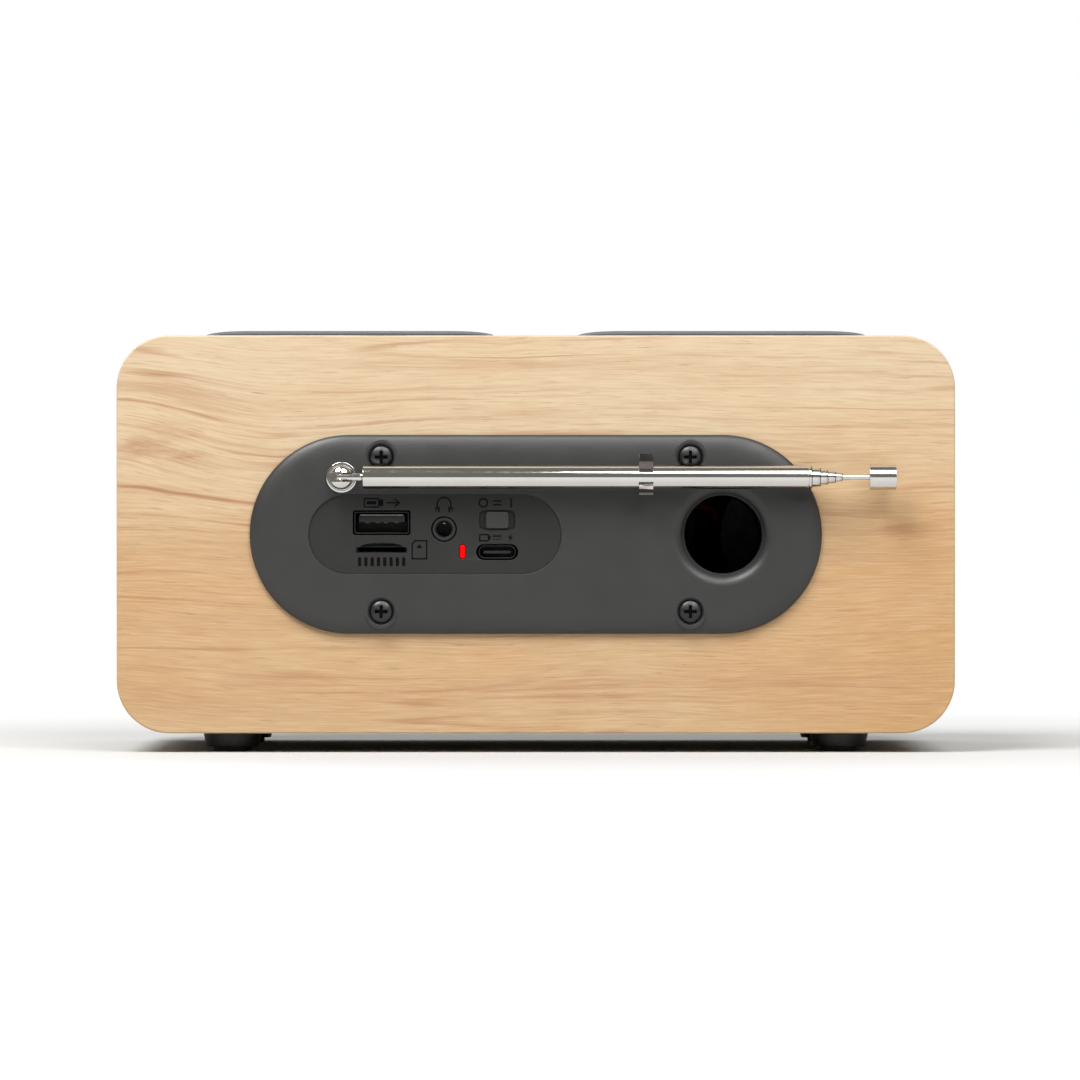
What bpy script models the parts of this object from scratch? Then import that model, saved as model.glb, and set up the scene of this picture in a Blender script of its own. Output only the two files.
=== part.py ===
"""A table-top clock radio in a rounded wooden case.

The case stands on four feet, with a cloth-covered front that holds two speakers and a clock display,
two raised key decks on top, and a grey service plate behind with the sockets, a power switch,
a bass port and a telescopic aerial on a swivel. Everything is in metres: +Z is up, -Y is the front,
and the origin is on the table under the middle of the whole object.
"""

import math

import bmesh
import bpy
from mathutils import Matrix, Vector

MM = 0.001
TOUCH = 0.2 * MM  # left between two pieces that bear on each other
SLIP = 0.3 * MM  # left round a piece that sits in a hole

# Case
CASE_W, CASE_H, CASE_D = 200 * MM, 94.9 * MM, 92 * MM
CASE_R = 12.6 * MM
WALL = 8 * MM
CAVITY_R = 5 * MM
AERIAL_NOTCH_R = 5.5 * MM
STAND_OUT = 10.3 * MM  # how far the aerial clip reaches behind the case
REAR_Y = (CASE_D - STAND_OUT) / 2
FRONT_Y = REAR_Y - CASE_D

# Feet
FOOT_H, FOOT_PAD_H = 4.6 * MM, 1.1 * MM
FOOT_TOP_R, FOOT_BASE_R, FOOT_PAD_R = 7.1 * MM, 6.3 * MM, 4.7 * MM
FOOT_POCKET = 0.8 * MM
FOOT_X, FOOT_INSET = 73 * MM, 14 * MM

MIDDLE_Z = FOOT_H + CASE_H / 2
TOP_Z = FOOT_H + CASE_H

# Service plate, in the frame of the rear face: u to the right as seen from behind, v up, w outwards
PLATE_W, PLATE_H = 136.4 * MM, 47.4 * MM
PLATE_FLAT, PLATE_LIP, PLATE_SHOULDER = 2.8 * MM, 0.5 * MM, 8.5 * MM
CUTOUT_W, CUTOUT_H = 124 * MM, 30 * MM
RIB_WALL, RIB_DEPTH = 2 * MM, 5 * MM
SOCKET_WINDOWS = ((-44.6 * MM, -28.8 * MM), (-25.6 * MM, -3.4 * MM))  # from and to, across the plate
WINDOW_HEIGHT, WINDOW_V = 13.4 * MM, 0.2 * MM
SCREW_U, SCREW_V = 36.8 * MM, 18.4 * MM
SCREW_R, SCREW_LENGTH = 1.5 * MM, 8.5 * MM
HEAD_R, HEAD_H, HEAD_SEAT = 2.87 * MM, 1.25 * MM, 1.7 * MM
BOSS_R, BOSS_TOP, BOSS_OUTWARD = 3.75 * MM, 2.7 * MM, 0.5 * MM

# Bass port
PORT_U = 44.7 * MM
PORT_R, PORT_FLARE, PORT_WALL = 9.4 * MM, 3.2 * MM, 1.8 * MM
PORT_COLLAR_DEPTH, PORT_LENGTH, PORT_END_FLARE = 5 * MM, 37 * MM, 2.5 * MM

# Socket panel
PANEL_U = -24 * MM
PANEL_W, PANEL_H = 59.8 * MM, 18.7 * MM
PANEL_FACE, PANEL_T = 2.4 * MM, 1.2 * MM
USB_A_UV, USB_A_HOLE = (-36.7 * MM, 2.76 * MM), (13.7 * MM, 5.9 * MM)
CARD_UV, CARD_HOLE, CARD_RELIEF = (-36.7 * MM, -3.76 * MM), (12.1 * MM, 1.3 * MM), (10.2 * MM, 1.1 * MM)
JACK_UV, JACK_R, JACK_BORE_R = (-21.85 * MM, 1.1 * MM), 2.87 * MM, 1.78 * MM
LIGHT_UV, LIGHT_W, LIGHT_H = (-17.45 * MM, -4.1 * MM), 1.34 * MM, 3.3 * MM
SWITCH_UV, SWITCH_HOLE = (-9.2 * MM, 3.4 * MM), (8.43 * MM, 4.57 * MM)
KNOB_SIZE, KNOB_TOP = (5.5 * MM, 4.05 * MM), 3.0 * MM
USB_C_UV, USB_C_HOLE = (-9.2 * MM, -4.21 * MM), (9.95 * MM, 3.85 * MM)

# Sockets on the main board. Their fronts and backs are measured outwards from the rear face
USB_A_SHELL, USB_A_WALL, USB_A_FRONT, USB_A_BACK = (13.1 * MM, 5.3 * MM), 0.3 * MM, 1.9 * MM, -12 * MM
USB_A_TONGUE, USB_A_TONGUE_V = (11.1 * MM, 1.7 * MM, 12.6 * MM), 0.95 * MM
USB_C_SHELL, USB_C_WALL, USB_C_FRONT, USB_C_BACK = (9.0 * MM, 3.2 * MM), 0.3 * MM, 2.0 * MM, -7 * MM
USB_C_TONGUE = (6.7 * MM, 0.7 * MM, 7 * MM)
JACK_FRONT, JACK_NECK, JACK_DEPTH, JACK_BODY = 2.2 * MM, -1.6 * MM, -11 * MM, (6.4 * MM, 4.8 * MM, 11 * MM)
CARD_CAGE, CARD_SPACE = (14 * MM, 2.1 * MM, 15 * MM), (11.2 * MM, 1.0 * MM, 26 * MM)
SWITCH_BODY_W, SWITCH_BODY_TOP, SWITCH_BODY_DEPTH = 9.6 * MM, 2.9 * MM, 5 * MM
SWITCH_SLIT, LEVER = (4.8 * MM, 2.2 * MM, 7 * MM), (1.6 * MM, 1.6 * MM, 3.4 * MM)

# Main board, which lies flat behind the socket panel
BOARD_U, BOARD_W, BOARD_LENGTH, BOARD_REAR = -22 * MM, 52 * MM, 40 * MM, -2 * MM
BOARD_LOW, BOARD_HIGH = -2.5 * MM, -0.9 * MM
RAIL_U, RAIL_SIZE, RAIL_W = (-47 * MM, -1 * MM), (2.4 * MM, 2.4 * MM, 36 * MM), -17.2 * MM
COMPONENTS = (  # width, height, length, then u and w of the middle
    (12 * MM, 1.4 * MM, 12 * MM, -26 * MM, -30 * MM),
    (7 * MM, 1.2 * MM, 7 * MM, -10 * MM, -24 * MM),
    (9 * MM, 4 * MM, 9 * MM, -37 * MM, -27 * MM),
    (6 * MM, 6.5 * MM, 6 * MM, -13 * MM, -35 * MM),
)
SUNK = 0.4 * MM  # how far a joined shape runs into the one that it stands on

# Aerial
PIVOT_U, PIVOT_V, PIVOT_W = -46.2 * MM, 13.55 * MM, 6.6 * MM
BALL_R, SLOT_HALF, TONGUE_T, TONGUE_R = 2.9 * MM, 1.15 * MM, 2.0 * MM, 1.3 * MM
FLANGE_R, FLANGE_T, BUSH_R, BUSH_BORE_R, BUSH_END = 3.65 * MM, 0.75 * MM, 2.2 * MM, 1.6 * MM, -4.5 * MM
NUT_R, NUT_T, NUT_SPACE_R = 3.4 * MM, 2 * MM, 4.2 * MM
SHAFT_R, SHAFT_END, SHAFT_HEAD_R, SHAFT_HEAD_T = 1.3 * MM, -4.7 * MM, 2.1 * MM, 1 * MM
PIN_R, PIN_BORE_R, PIN_LENGTH = 0.6 * MM, 0.75 * MM, 5.0 * MM
TUBE_START, TUBE_END, TUBE_R, TUBE_BORE_R = 5.2 * MM, 111.6 * MM, 2.75 * MM, 2.42 * MM
TUBE_PLUG = 3 * MM
SECTIONS = (  # outer radius, bore radius, start and end, measured along the aerial from its pivot
    (2.25 * MM, 1.97 * MM, 9.0 * MM, 113.6 * MM),
    (1.80 * MM, 1.55 * MM, 9.8 * MM, 115.4 * MM),
    (1.42 * MM, 1.20 * MM, 10.6 * MM, 117.2 * MM),
    (1.05 * MM, 0.82 * MM, 11.4 * MM, 118.8 * MM),
)
ROD_R, ROD_START, ROD_END = 0.62 * MM, 12.2 * MM, 128.5 * MM
TIP_R, TIP_START, TIP_END, TIP_BORE_R = 3.0 * MM, 125.4 * MM, 131.7 * MM, 0.85 * MM
CLIP_U, CLIP_WIDTH, CLIP_T = 26.15 * MM, 3.44 * MM, 0.55 * MM
CLIP_NECK = 1.73 * MM
# The clip's lips, as points outwards from the rear face and up from the middle of the tube
CLIP_FLARE = ((9.7 * MM, 2.15 * MM), (9.98 * MM, 2.9 * MM), (10.02 * MM, 3.7 * MM))
CLIP_UPPER_LIP, CLIP_LOWER_LIP = (9.75 * MM, 5.5 * MM), (9.95 * MM, -4.25 * MM)
CLIP_FOOT_H, CLIP_FOOT_T = 2.4 * MM, 0.75 * MM

# Front
FRONT_W, FRONT_H, FRONT_R = CASE_W - 2 * (WALL + SLIP), CASE_H - 2 * (WALL + SLIP), CAVITY_R - SLIP
GRILLE_SET_BACK, GRILLE_T = 0.5 * MM, 2.6 * MM
BAFFLE_T = 4 * MM
LENS_W, LENS_H, LENS_T = 70 * MM, 28 * MM, 2 * MM
DISPLAY_W, DISPLAY_H, DISPLAY_T = 60 * MM, 18 * MM, 5 * MM
SPEAKER_X, SPEAKER_R, SPEAKER_HOLE_R = 62 * MM, 26 * MM, 22.5 * MM
MAGNET_R = 16 * MM
DISPLAY_BOARD_EDGE, DISPLAY_BOARD_T, DISPLAY_GAP = 3 * MM, 1.2 * MM, 0.5 * MM
SPEAKER_FRAME = (  # radius, then distance behind the baffle
    (0, -11 * MM),
    (7 * MM, -11 * MM),
    (20.9 * MM, -3.2 * MM),
    (21.9 * MM, 0),
    (SPEAKER_R, 0),
    (SPEAKER_R, -2 * MM),
    (22.5 * MM, -2.4 * MM),
    (14.5 * MM, -12 * MM),
    (MAGNET_R, -12.4 * MM),
    (MAGNET_R, -23 * MM),
    (0, -23 * MM),
)
SPEAKER_CONE = (
    (0, -5.0 * MM),
    (4 * MM, -5.6 * MM),
    (6 * MM, -7.2 * MM),
    (16.5 * MM, -2.2 * MM),
    (18.5 * MM, -0.9 * MM),
    (20.2 * MM, -1.2 * MM),
    (19.9 * MM, -1.8 * MM),
    (18.4 * MM, -1.5 * MM),
    (16.6 * MM, -2.9 * MM),
    (6.2 * MM, -8.0 * MM),
    (6.0 * MM, -9.6 * MM),
    (0, -9.6 * MM),
)

# Key decks
DECK_X, DECK_W, DECK_DEPTH, DECK_R = 45.3 * MM, 71 * MM, 50 * MM, 12 * MM
DECK_TOP, DECK_LIP, DECK_SHOULDER, DECK_ROOF = 2.05 * MM, 0.5 * MM, 8.0 * MM, 1.15 * MM
DECK_CUT_W, DECK_CUT_D, DECK_CUT_R = 58 * MM, 37 * MM, 4 * MM
SKIRT_WALL, SKIRT_DEPTH = 1.5 * MM, 7.2 * MM
KEY_W, KEY_D, KEY_R, KEY_GAP, KEY_SLIP = 15 * MM, 12 * MM, 2 * MM, 2.5 * MM, 0.3 * MM
BAR_W = 3 * KEY_W + 2 * KEY_GAP
KEY_FLANGE, KEY_FLANGE_LOW, KEY_FLANGE_HIGH = 1 * MM, -0.3 * MM, 0.5 * MM
STEM, STEM_FOOT = 4 * MM, -3.15 * MM
STEM_PLACE = 0.4  # a long key's stems stand this share of its width from its middle
ROW_Y = (KEY_D + KEY_GAP) / 2
COLUMN_X = KEY_W + KEY_GAP
ROCKER_END_SLIP = 0.4 * MM
TRUNNION_R, TRUNNION_Z, TRUNNION_HALF, TRUNNION_BORE_R = 0.9 * MM, -0.6 * MM, 7.0 * MM, 1.15 * MM
WEB_W, WEB_H = 2.6 * MM, 1.4 * MM
BEARING_W, BEARING_T, BEARING_FOOT = 4 * MM, 1.0 * MM, -2.4 * MM
KEY_BOARD_LOW, KEY_BOARD_T, SWITCH_SIDE, SWITCH_TOP = -7.0 * MM, 1.2 * MM, 4.5 * MM, -4.25 * MM

# Battery
CELL_R, CELL_LENGTH, CELL_NUB_R, CELL_NUB = 9.15 * MM, 64 * MM, 2.8 * MM, 1.2 * MM
HOLDER_LENGTH, HOLDER_WIDTH, HOLDER_HEIGHT = 78 * MM, 23 * MM, 12 * MM
BATTERY_Y, CELL_LIFT, CELL_END_SPACE = 5 * MM, 2 * MM, 3 * MM
LEAD_R, AERIAL_LEAD_R = 0.8 * MM, 0.6 * MM

ROUND = 32  # sides of a large cylinder
FINE = 20  # sides of a small one
REACH = 40 * MM  # how far a cutter runs past the wall it cuts


def clear_scene():
    for old in list(bpy.data.objects):
        bpy.data.objects.remove(old)


def new_collection(name):
    made = bpy.data.collections.new(name)
    bpy.context.scene.collection.children.link(made)
    return made


clear_scene()
RADIO = new_collection("clock_radio")
CUTTERS = new_collection("cutters")


def new_material(name, colour, roughness, metallic=0.0):
    made = bpy.data.materials.new(name)
    made.use_nodes = True
    shader = made.node_tree.nodes["Principled BSDF"]
    shader.inputs["Base Color"].default_value = (*colour, 1.0)
    shader.inputs["Roughness"].default_value = roughness
    shader.inputs["Metallic"].default_value = metallic
    made.diffuse_color = (*colour, 1.0)
    return made


WOOD = new_material("maple_veneer", (0.69, 0.47, 0.26), 0.5)
GREY = new_material("grey_abs", (0.075, 0.075, 0.078), 0.45)
DARK = new_material("dark_abs", (0.045, 0.045, 0.045), 0.5)
BLACK = new_material("black_plastic", (0.012, 0.012, 0.012), 0.4)
RUBBER = new_material("black_rubber", (0.015, 0.015, 0.015), 0.8)
CHROME = new_material("chrome", (0.78, 0.76, 0.72), 0.08, 1.0)
STEEL = new_material("black_steel", (0.05, 0.05, 0.055), 0.3, 1.0)
TIN = new_material("tinned_steel", (0.5, 0.5, 0.5), 0.3, 1.0)
CLOTH = new_material("grille_cloth", (0.12, 0.12, 0.125), 0.9)
GLASS = new_material("smoked_acrylic", (0.01, 0.01, 0.012), 0.08)
BOARD = new_material("circuit_board", (0.02, 0.12, 0.05), 0.5)
RED = new_material("red_light", (0.9, 0.01, 0.01), 0.4)
PAPER = new_material("speaker_paper", (0.03, 0.03, 0.03), 0.7)
CELL = new_material("cell_sleeve", (0.05, 0.15, 0.35), 0.4)
SHEATH = new_material("lead_sheath", (0.25, 0.02, 0.02), 0.5)


def empty(name, location, rotation=(0, 0, 0), parent=None):
    """A frame that pieces are parented to. Its rotation is in degrees."""
    made = bpy.data.objects.new(name, None)
    made.location = location
    made.rotation_euler = [math.radians(a) for a in rotation]
    made.parent = parent
    RADIO.objects.link(made)
    return made


FRONT = empty("front_face", (0, FRONT_Y, MIDDLE_Z), (90, 0, 0))
REAR = empty("rear_face", (0, REAR_Y, MIDDLE_Z), (90, 0, 180))
AERIAL = empty("aerial_pivot", (PIVOT_U, PIVOT_V, PIVOT_W), (0, 90, 0), REAR)
LEFT_DECK = empty("left_deck", (-DECK_X, (FRONT_Y + REAR_Y) / 2, TOP_Z))
RIGHT_DECK = empty("right_deck", (DECK_X, (FRONT_Y + REAR_Y) / 2, TOP_Z))


def add(name, mesh, material=None, parent=None, at=(0, 0, 0), rotation=(0, 0, 0)):
    """An object from a mesh. With no material it is a cutter or a shape to be joined to another."""
    made = bpy.data.objects.new(name, mesh)
    made.parent = parent
    made.location = at
    made.rotation_euler = [math.radians(a) for a in rotation]
    if material is None:
        made.hide_render = True
        made.display_type = "WIRE"
        CUTTERS.objects.link(made)
    else:
        mesh.materials.append(material)
        RADIO.objects.link(made)
    return made


def finished(bm, name):
    """The mesh of a bmesh, with its faces pointing out."""
    bmesh.ops.recalc_face_normals(bm, faces=bm.faces)
    mesh = bpy.data.meshes.new(name)
    bm.to_mesh(mesh)
    bm.free()
    mesh.shade_smooth()
    mesh.set_sharp_from_angle(angle=math.radians(35))
    return mesh


def box_mesh(size, centre=(0, 0, 0)):
    bm = bmesh.new()
    bmesh.ops.create_cube(bm, size=1, matrix=Matrix.Translation(centre) @ Matrix.Diagonal((*size, 1)))
    return finished(bm, "box")


def cylinder_mesh(radius, low, high, sides=ROUND, top_radius=None):
    """A cylinder or a cone on the z axis."""
    bm = bmesh.new()
    bmesh.ops.create_cone(
        bm,
        cap_ends=True,
        segments=sides,
        radius1=radius,
        radius2=radius if top_radius is None else top_radius,
        depth=high - low,
        matrix=Matrix.Translation((0, 0, (low + high) / 2)),
    )
    return finished(bm, "cylinder")


def rounded(width, height, radius, steps=8, centre=(0, 0)):
    """The outline of a rectangle with round corners, anticlockwise."""
    points = []
    for corner, (sx, sy) in enumerate(((1, 1), (-1, 1), (-1, -1), (1, -1))):
        cx = centre[0] + sx * (width / 2 - radius)
        cy = centre[1] + sy * (height / 2 - radius)
        for step in range(steps + 1):
            angle = math.radians(90 * (corner + step / steps))
            point = (cx + radius * math.cos(angle), cy + radius * math.sin(angle))
            if not points or math.dist(point, points[-1]) > 0.01 * MM:
                points.append(point)
    if math.dist(points[0], points[-1]) < 0.01 * MM:
        points.pop()
    return points


def stadium(width, height, steps=10, centre=(0, 0)):
    """An outline with straight long sides and half-round ends."""
    return rounded(width, height, height / 2, steps, centre)


def circle(radius, centre=(0, 0), sides=ROUND):
    angles = [2 * math.pi * i / sides for i in range(sides)]
    return [(centre[0] + radius * math.cos(a), centre[1] + radius * math.sin(a)) for a in angles]


def plate_mesh(loops, low, high):
    """A flat plate from z = low to high. The first loop is its outline, and the others are holes in it."""
    curve = bpy.data.curves.new("outline", "CURVE")
    curve.dimensions = "2D"
    curve.fill_mode = "BOTH"
    curve.extrude = (high - low) / 2
    for loop in loops:
        spline = curve.splines.new("POLY")
        spline.points.add(len(loop) - 1)
        for point, (x, y) in zip(spline.points, loop):
            point.co = (x, y, 0, 1)
        spline.use_cyclic_u = True
    holder = bpy.data.objects.new("outline", curve)
    CUTTERS.objects.link(holder)
    graph = bpy.context.evaluated_depsgraph_get()
    flat = bpy.data.meshes.new_from_object(holder.evaluated_get(graph))
    bpy.data.objects.remove(holder)
    bm = bmesh.new()
    bm.from_mesh(flat)
    bmesh.ops.remove_doubles(bm, verts=bm.verts, dist=0.001 * MM)
    bmesh.ops.translate(bm, verts=bm.verts, vec=(0, 0, (low + high) / 2))
    return finished(bm, "plate")


def pillow_mesh(outline, low, lip, high, shoulder, steps=6):
    """A plate whose edge rises straight to lip, then curves in over shoulder to its flat top at high."""
    bm = bmesh.new()
    base = [bm.verts.new((x, y, low)) for x, y in outline]
    rim = [bm.verts.new((x, y, lip)) for x, y in outline]
    for i in range(len(outline)):
        bm.faces.new((base[i - 1], base[i], rim[i], rim[i - 1]))
    bm.faces.new(base[::-1])
    top = bm.faces.new(rim)
    bm.normal_update()
    run = rise = 0.0
    for step in range(1, steps + 1):
        angle = math.radians(90 * step / steps)
        next_run = shoulder * (1 - math.cos(angle))
        next_rise = (high - lip) * math.sin(angle)
        bmesh.ops.inset_region(
            bm, faces=[top], thickness=next_run - run, depth=next_rise - rise, use_even_offset=True
        )
        run, rise = next_run, next_rise
    return finished(bm, "pillow")


def turned(name, profile, material=None, parent=None, at=(0, 0, 0), sides=ROUND, ring=False):
    """A solid of revolution about z, from (radius, z). A ring's profile is a closed loop."""
    bm = bmesh.new()
    points = [bm.verts.new((radius, 0, z)) for radius, z in profile]
    for first, second in zip(points, points[1:]):
        bm.edges.new((first, second))
    if ring:
        bm.edges.new((points[-1], points[0]))
    mesh = bpy.data.meshes.new(name)
    bm.to_mesh(mesh)
    bm.free()
    made = add(name, mesh, material, parent, at)
    screw = made.modifiers.new("turn", "SCREW")
    screw.steps = screw.render_steps = sides
    screw.use_merge_vertices = True
    screw.merge_threshold = 0.005 * MM
    screw.use_smooth_shade = True
    return made


def combine(target, operation, *others):
    for other in others:
        step = target.modifiers.new(operation.lower(), "BOOLEAN")
        step.operation = operation
        step.solver = "EXACT"
        step.object = other


def cut(target, *cutters):
    combine(target, "DIFFERENCE", *cutters)


def join(target, *shapes):
    combine(target, "UNION", *shapes)


def wire(name, points, radius, material):
    """A round lead through the points, on a smooth curve."""
    path = []
    ends = [points[0], *points, points[-1]]
    for a, b, c, d in zip(ends, ends[1:], ends[2:], ends[3:]):
        a, b, c, d = (Vector(p) for p in (a, b, c, d))
        for step in range(4):
            t = step / 4
            square = (2 * a - 5 * b + 4 * c - d) * t ** 2
            cube = (3 * b - a - 3 * c + d) * t ** 3
            path.append((2 * b + (c - a) * t + square + cube) / 2)
    path.append(Vector(points[-1]))
    curve = bpy.data.curves.new(name, "CURVE")
    curve.dimensions = "3D"
    curve.bevel_depth = radius
    curve.bevel_resolution = 2
    curve.use_fill_caps = True
    spline = curve.splines.new("POLY")
    spline.points.add(len(path) - 1)
    for point, place in zip(spline.points, path):
        point.co = (*place, 1)
    made = bpy.data.objects.new(name, curve)
    curve.materials.append(material)
    RADIO.objects.link(made)
    return made


def make_case():
    """The wooden case: a tube with a back, cut for the service plate, the aerial and the key decks."""
    case = add("cabinet", plate_mesh([rounded(CASE_W, CASE_H, CASE_R)], -CASE_D, 0), WOOD, FRONT)
    cavity = rounded(CASE_W - 2 * WALL, CASE_H - 2 * WALL, CAVITY_R, 4)
    cut(case, add("case_cavity", plate_mesh([cavity], -(CASE_D - WALL), REACH), None, FRONT))
    plate_hole = plate_mesh([stadium(CUTOUT_W, CUTOUT_H)], -WALL - REACH / 4, REACH)
    cut(case, add("plate_cutout", plate_hole, None, REAR))
    notch = cylinder_mesh(AERIAL_NOTCH_R, -WALL - REACH / 4, REACH, FINE)
    cut(case, add("aerial_notch", notch, None, REAR, (PIVOT_U, PIVOT_V, 0)))
    pilot = cylinder_mesh(SCREW_R + SLIP, -WALL - REACH / 4, REACH, FINE)
    for u in (-SCREW_U, SCREW_U):
        for v in (-SCREW_V, SCREW_V):
            cut(case, add("pilot_hole", pilot, None, REAR, (u, v, 0)))
    deck_hole = plate_mesh([rounded(DECK_CUT_W, DECK_CUT_D, DECK_CUT_R, 4)], -WALL - REACH / 4, REACH)
    for deck in (LEFT_DECK, RIGHT_DECK):
        cut(case, add("deck_cutout", deck_hole, None, deck))


def make_feet():
    """Four tapered feet, each with a rubber pad set into its underside."""
    for side, x in (("left", -FOOT_X), ("right", FOOT_X)):
        for end, y in (("front", FRONT_Y + FOOT_INSET), ("rear", REAR_Y - FOOT_INSET)):
            profile = (
                (0, FOOT_H - TOUCH),
                (FOOT_TOP_R, FOOT_H - TOUCH),
                (FOOT_BASE_R, FOOT_PAD_H),
                (FOOT_PAD_R + TOUCH, FOOT_PAD_H),
                (FOOT_PAD_R + TOUCH, FOOT_PAD_H + FOOT_POCKET),
                (0, FOOT_PAD_H + FOOT_POCKET),
            )
            turned(f"foot_{end}_{side}", profile, BLACK, at=(x, y, 0))
            pad = cylinder_mesh(FOOT_PAD_R, 0, FOOT_PAD_H + FOOT_POCKET - TOUCH)
            add(f"foot_pad_{end}_{side}", pad, RUBBER, at=(x, y, 0))


def make_service_plate():
    """The grey plate, with a rounded shoulder, screw bosses, the port's flare and a pocket for the panel."""
    flat = pillow_mesh(stadium(PLATE_W, PLATE_H, 14), TOUCH, TOUCH + PLATE_LIP, PLATE_FLAT, PLATE_SHOULDER)
    plate = add("rear_plate", flat, GREY, REAR)
    rib_w, rib_h = CUTOUT_W - 2 * SLIP, CUTOUT_H - 2 * SLIP
    rib = [stadium(rib_w, rib_h), stadium(rib_w - 2 * RIB_WALL, rib_h - 2 * RIB_WALL)]
    join(plate, add("plate_rib", plate_mesh(rib, -RIB_DEPTH, 1 * MM), None, REAR))
    boss = cylinder_mesh(BOSS_R, 0.5 * MM, BOSS_TOP)
    for u in (-SCREW_U, SCREW_U):
        for side in (-1, 1):
            join(plate, add("screw_boss", boss, None, REAR, (u, side * (SCREW_V + BOSS_OUTWARD), 0)))
    collar = cylinder_mesh(PORT_R + PORT_WALL, -PORT_COLLAR_DEPTH, 1 * MM)
    join(plate, add("port_collar", collar, None, REAR, (PORT_U, 0, 0)))
    for u in RAIL_U:
        rail = box_mesh(RAIL_SIZE, (u, BOARD_LOW - TOUCH - RAIL_SIZE[1] / 2, RAIL_W))
        join(plate, add("board_rail", rail, None, REAR))

    bore = [(0, REACH), (PORT_R + PORT_FLARE, REACH), (PORT_R + PORT_FLARE, PLATE_FLAT)]
    for step in range(1, 6):
        angle = math.radians(18 * step)
        radius = PORT_R + PORT_FLARE * (1 - math.sin(angle))
        bore.append((radius, PLATE_FLAT - PORT_FLARE * (1 - math.cos(angle))))
    bore += [(PORT_R, -REACH), (0, -REACH)]
    cut(plate, turned("port_bore", bore, None, REAR, (PORT_U, 0, 0)))
    seat = cylinder_mesh(HEAD_R + SLIP, HEAD_SEAT, REACH, FINE)
    hole = cylinder_mesh(SCREW_R + SLIP, -REACH, REACH, FINE)
    for u in (-SCREW_U, SCREW_U):
        for v in (-SCREW_V, SCREW_V):
            cut(plate, add("screw_seat", seat, None, REAR, (u, v, 0)))
            cut(plate, add("screw_hole", hole, None, REAR, (u, v, 0)))
    pocket = plate_mesh([stadium(PANEL_W + SLIP, PANEL_H + SLIP)], PANEL_FACE - PANEL_T - TOUCH, REACH)
    cut(plate, add("panel_pocket", pocket, None, REAR, (PANEL_U, 0, 0)))
    for low, high in SOCKET_WINDOWS:
        window = rounded(high - low, WINDOW_HEIGHT, 1 * MM, 2, ((low + high) / 2, WINDOW_V))
        cut(plate, add("socket_window", plate_mesh([window], -REACH, REACH), None, REAR))
    bush_hole = cylinder_mesh(BUSH_R + SLIP, -REACH, REACH, FINE)
    nut_space = cylinder_mesh(NUT_SPACE_R, -REACH, TOUCH, FINE)
    cut(plate, add("bush_hole", bush_hole, None, REAR, (PIVOT_U, PIVOT_V, 0)))
    cut(plate, add("nut_space", nut_space, None, REAR, (PIVOT_U, PIVOT_V, 0)))


def make_bass_port():
    """The port's tube, which carries on behind the plate's collar and flares at its inner end."""
    top, end = -PORT_COLLAR_DEPTH - TOUCH, -PORT_LENGTH
    outer = PORT_R + PORT_WALL
    profile = (
        (outer, top),
        (outer, end + 4 * MM),
        (outer + PORT_END_FLARE, end),
        (PORT_R + PORT_END_FLARE, end),
        (PORT_R, end + 4 * MM),
        (PORT_R, top),
    )
    turned("bass_port", profile, BLACK, REAR, (PORT_U, 0, 0), ring=True)


def make_screws():
    """The plate's four cross-head screws: a low dome on a plain shank."""
    names = ((-1, 1, "upper_left"), (1, 1, "upper_right"), (-1, -1, "lower_left"), (1, -1, "lower_right"))
    low, high, edge = HEAD_SEAT + TOUCH / 2, HEAD_SEAT + HEAD_H, 0.35 * MM
    dome = [(0, high)]
    for step in range(1, 6):
        angle = math.radians(18 * step)
        dome.append((HEAD_R * math.sin(angle), low + edge + (high - low - edge) * math.cos(angle)))
    tip = low - SCREW_LENGTH
    shank = [(HEAD_R, low), (SCREW_R, low), (SCREW_R, tip + SCREW_R), (0, tip)]
    long, short, deep = 2.9 * MM, 0.8 * MM, 2 * MM
    for side, level, where in names:
        place = (side * SCREW_U, level * SCREW_V, 0)
        screw = turned(f"plate_screw_{where}", dome + shank, STEEL, REAR, place, sides=FINE)
        for size in ((long, short, deep), (short, long, deep)):
            cut(screw, add("cross_slot", box_mesh(size, (0, 0, high)), None, REAR, place))


def make_socket_panel():
    """The insert that frames the sockets, the switch, the card slot and the charging light."""
    card_u, card_v = CARD_UV
    half, low, high = CARD_HOLE[0] / 2, card_v - CARD_HOLE[1] / 2, card_v + CARD_HOLE[1] / 2
    relief = CARD_RELIEF[0] / 2
    angles = [math.pi * step / 10 for step in range(11)]
    arc = [(card_u + relief * math.cos(a), high + CARD_RELIEF[1] * math.sin(a)) for a in angles]
    card = [(card_u - half, low), (card_u + half, low), (card_u + half, high), *arc, (card_u - half, high)]
    loops = [
        stadium(PANEL_W, PANEL_H, 14, (PANEL_U, 0)),
        rounded(*USB_A_HOLE, 0.5 * MM, 2, USB_A_UV),
        card,
        circle(JACK_R + SLIP, JACK_UV, 24),
        rounded(LIGHT_W + SLIP, LIGHT_H + SLIP, (LIGHT_W + SLIP) / 2, 4, LIGHT_UV),
        rounded(*SWITCH_HOLE, 1.1 * MM, 4, SWITCH_UV),
        stadium(*USB_C_HOLE, 6, USB_C_UV),
    ]
    add("socket_panel", plate_mesh(loops, PANEL_FACE - PANEL_T, PANEL_FACE), DARK, REAR)


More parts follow.
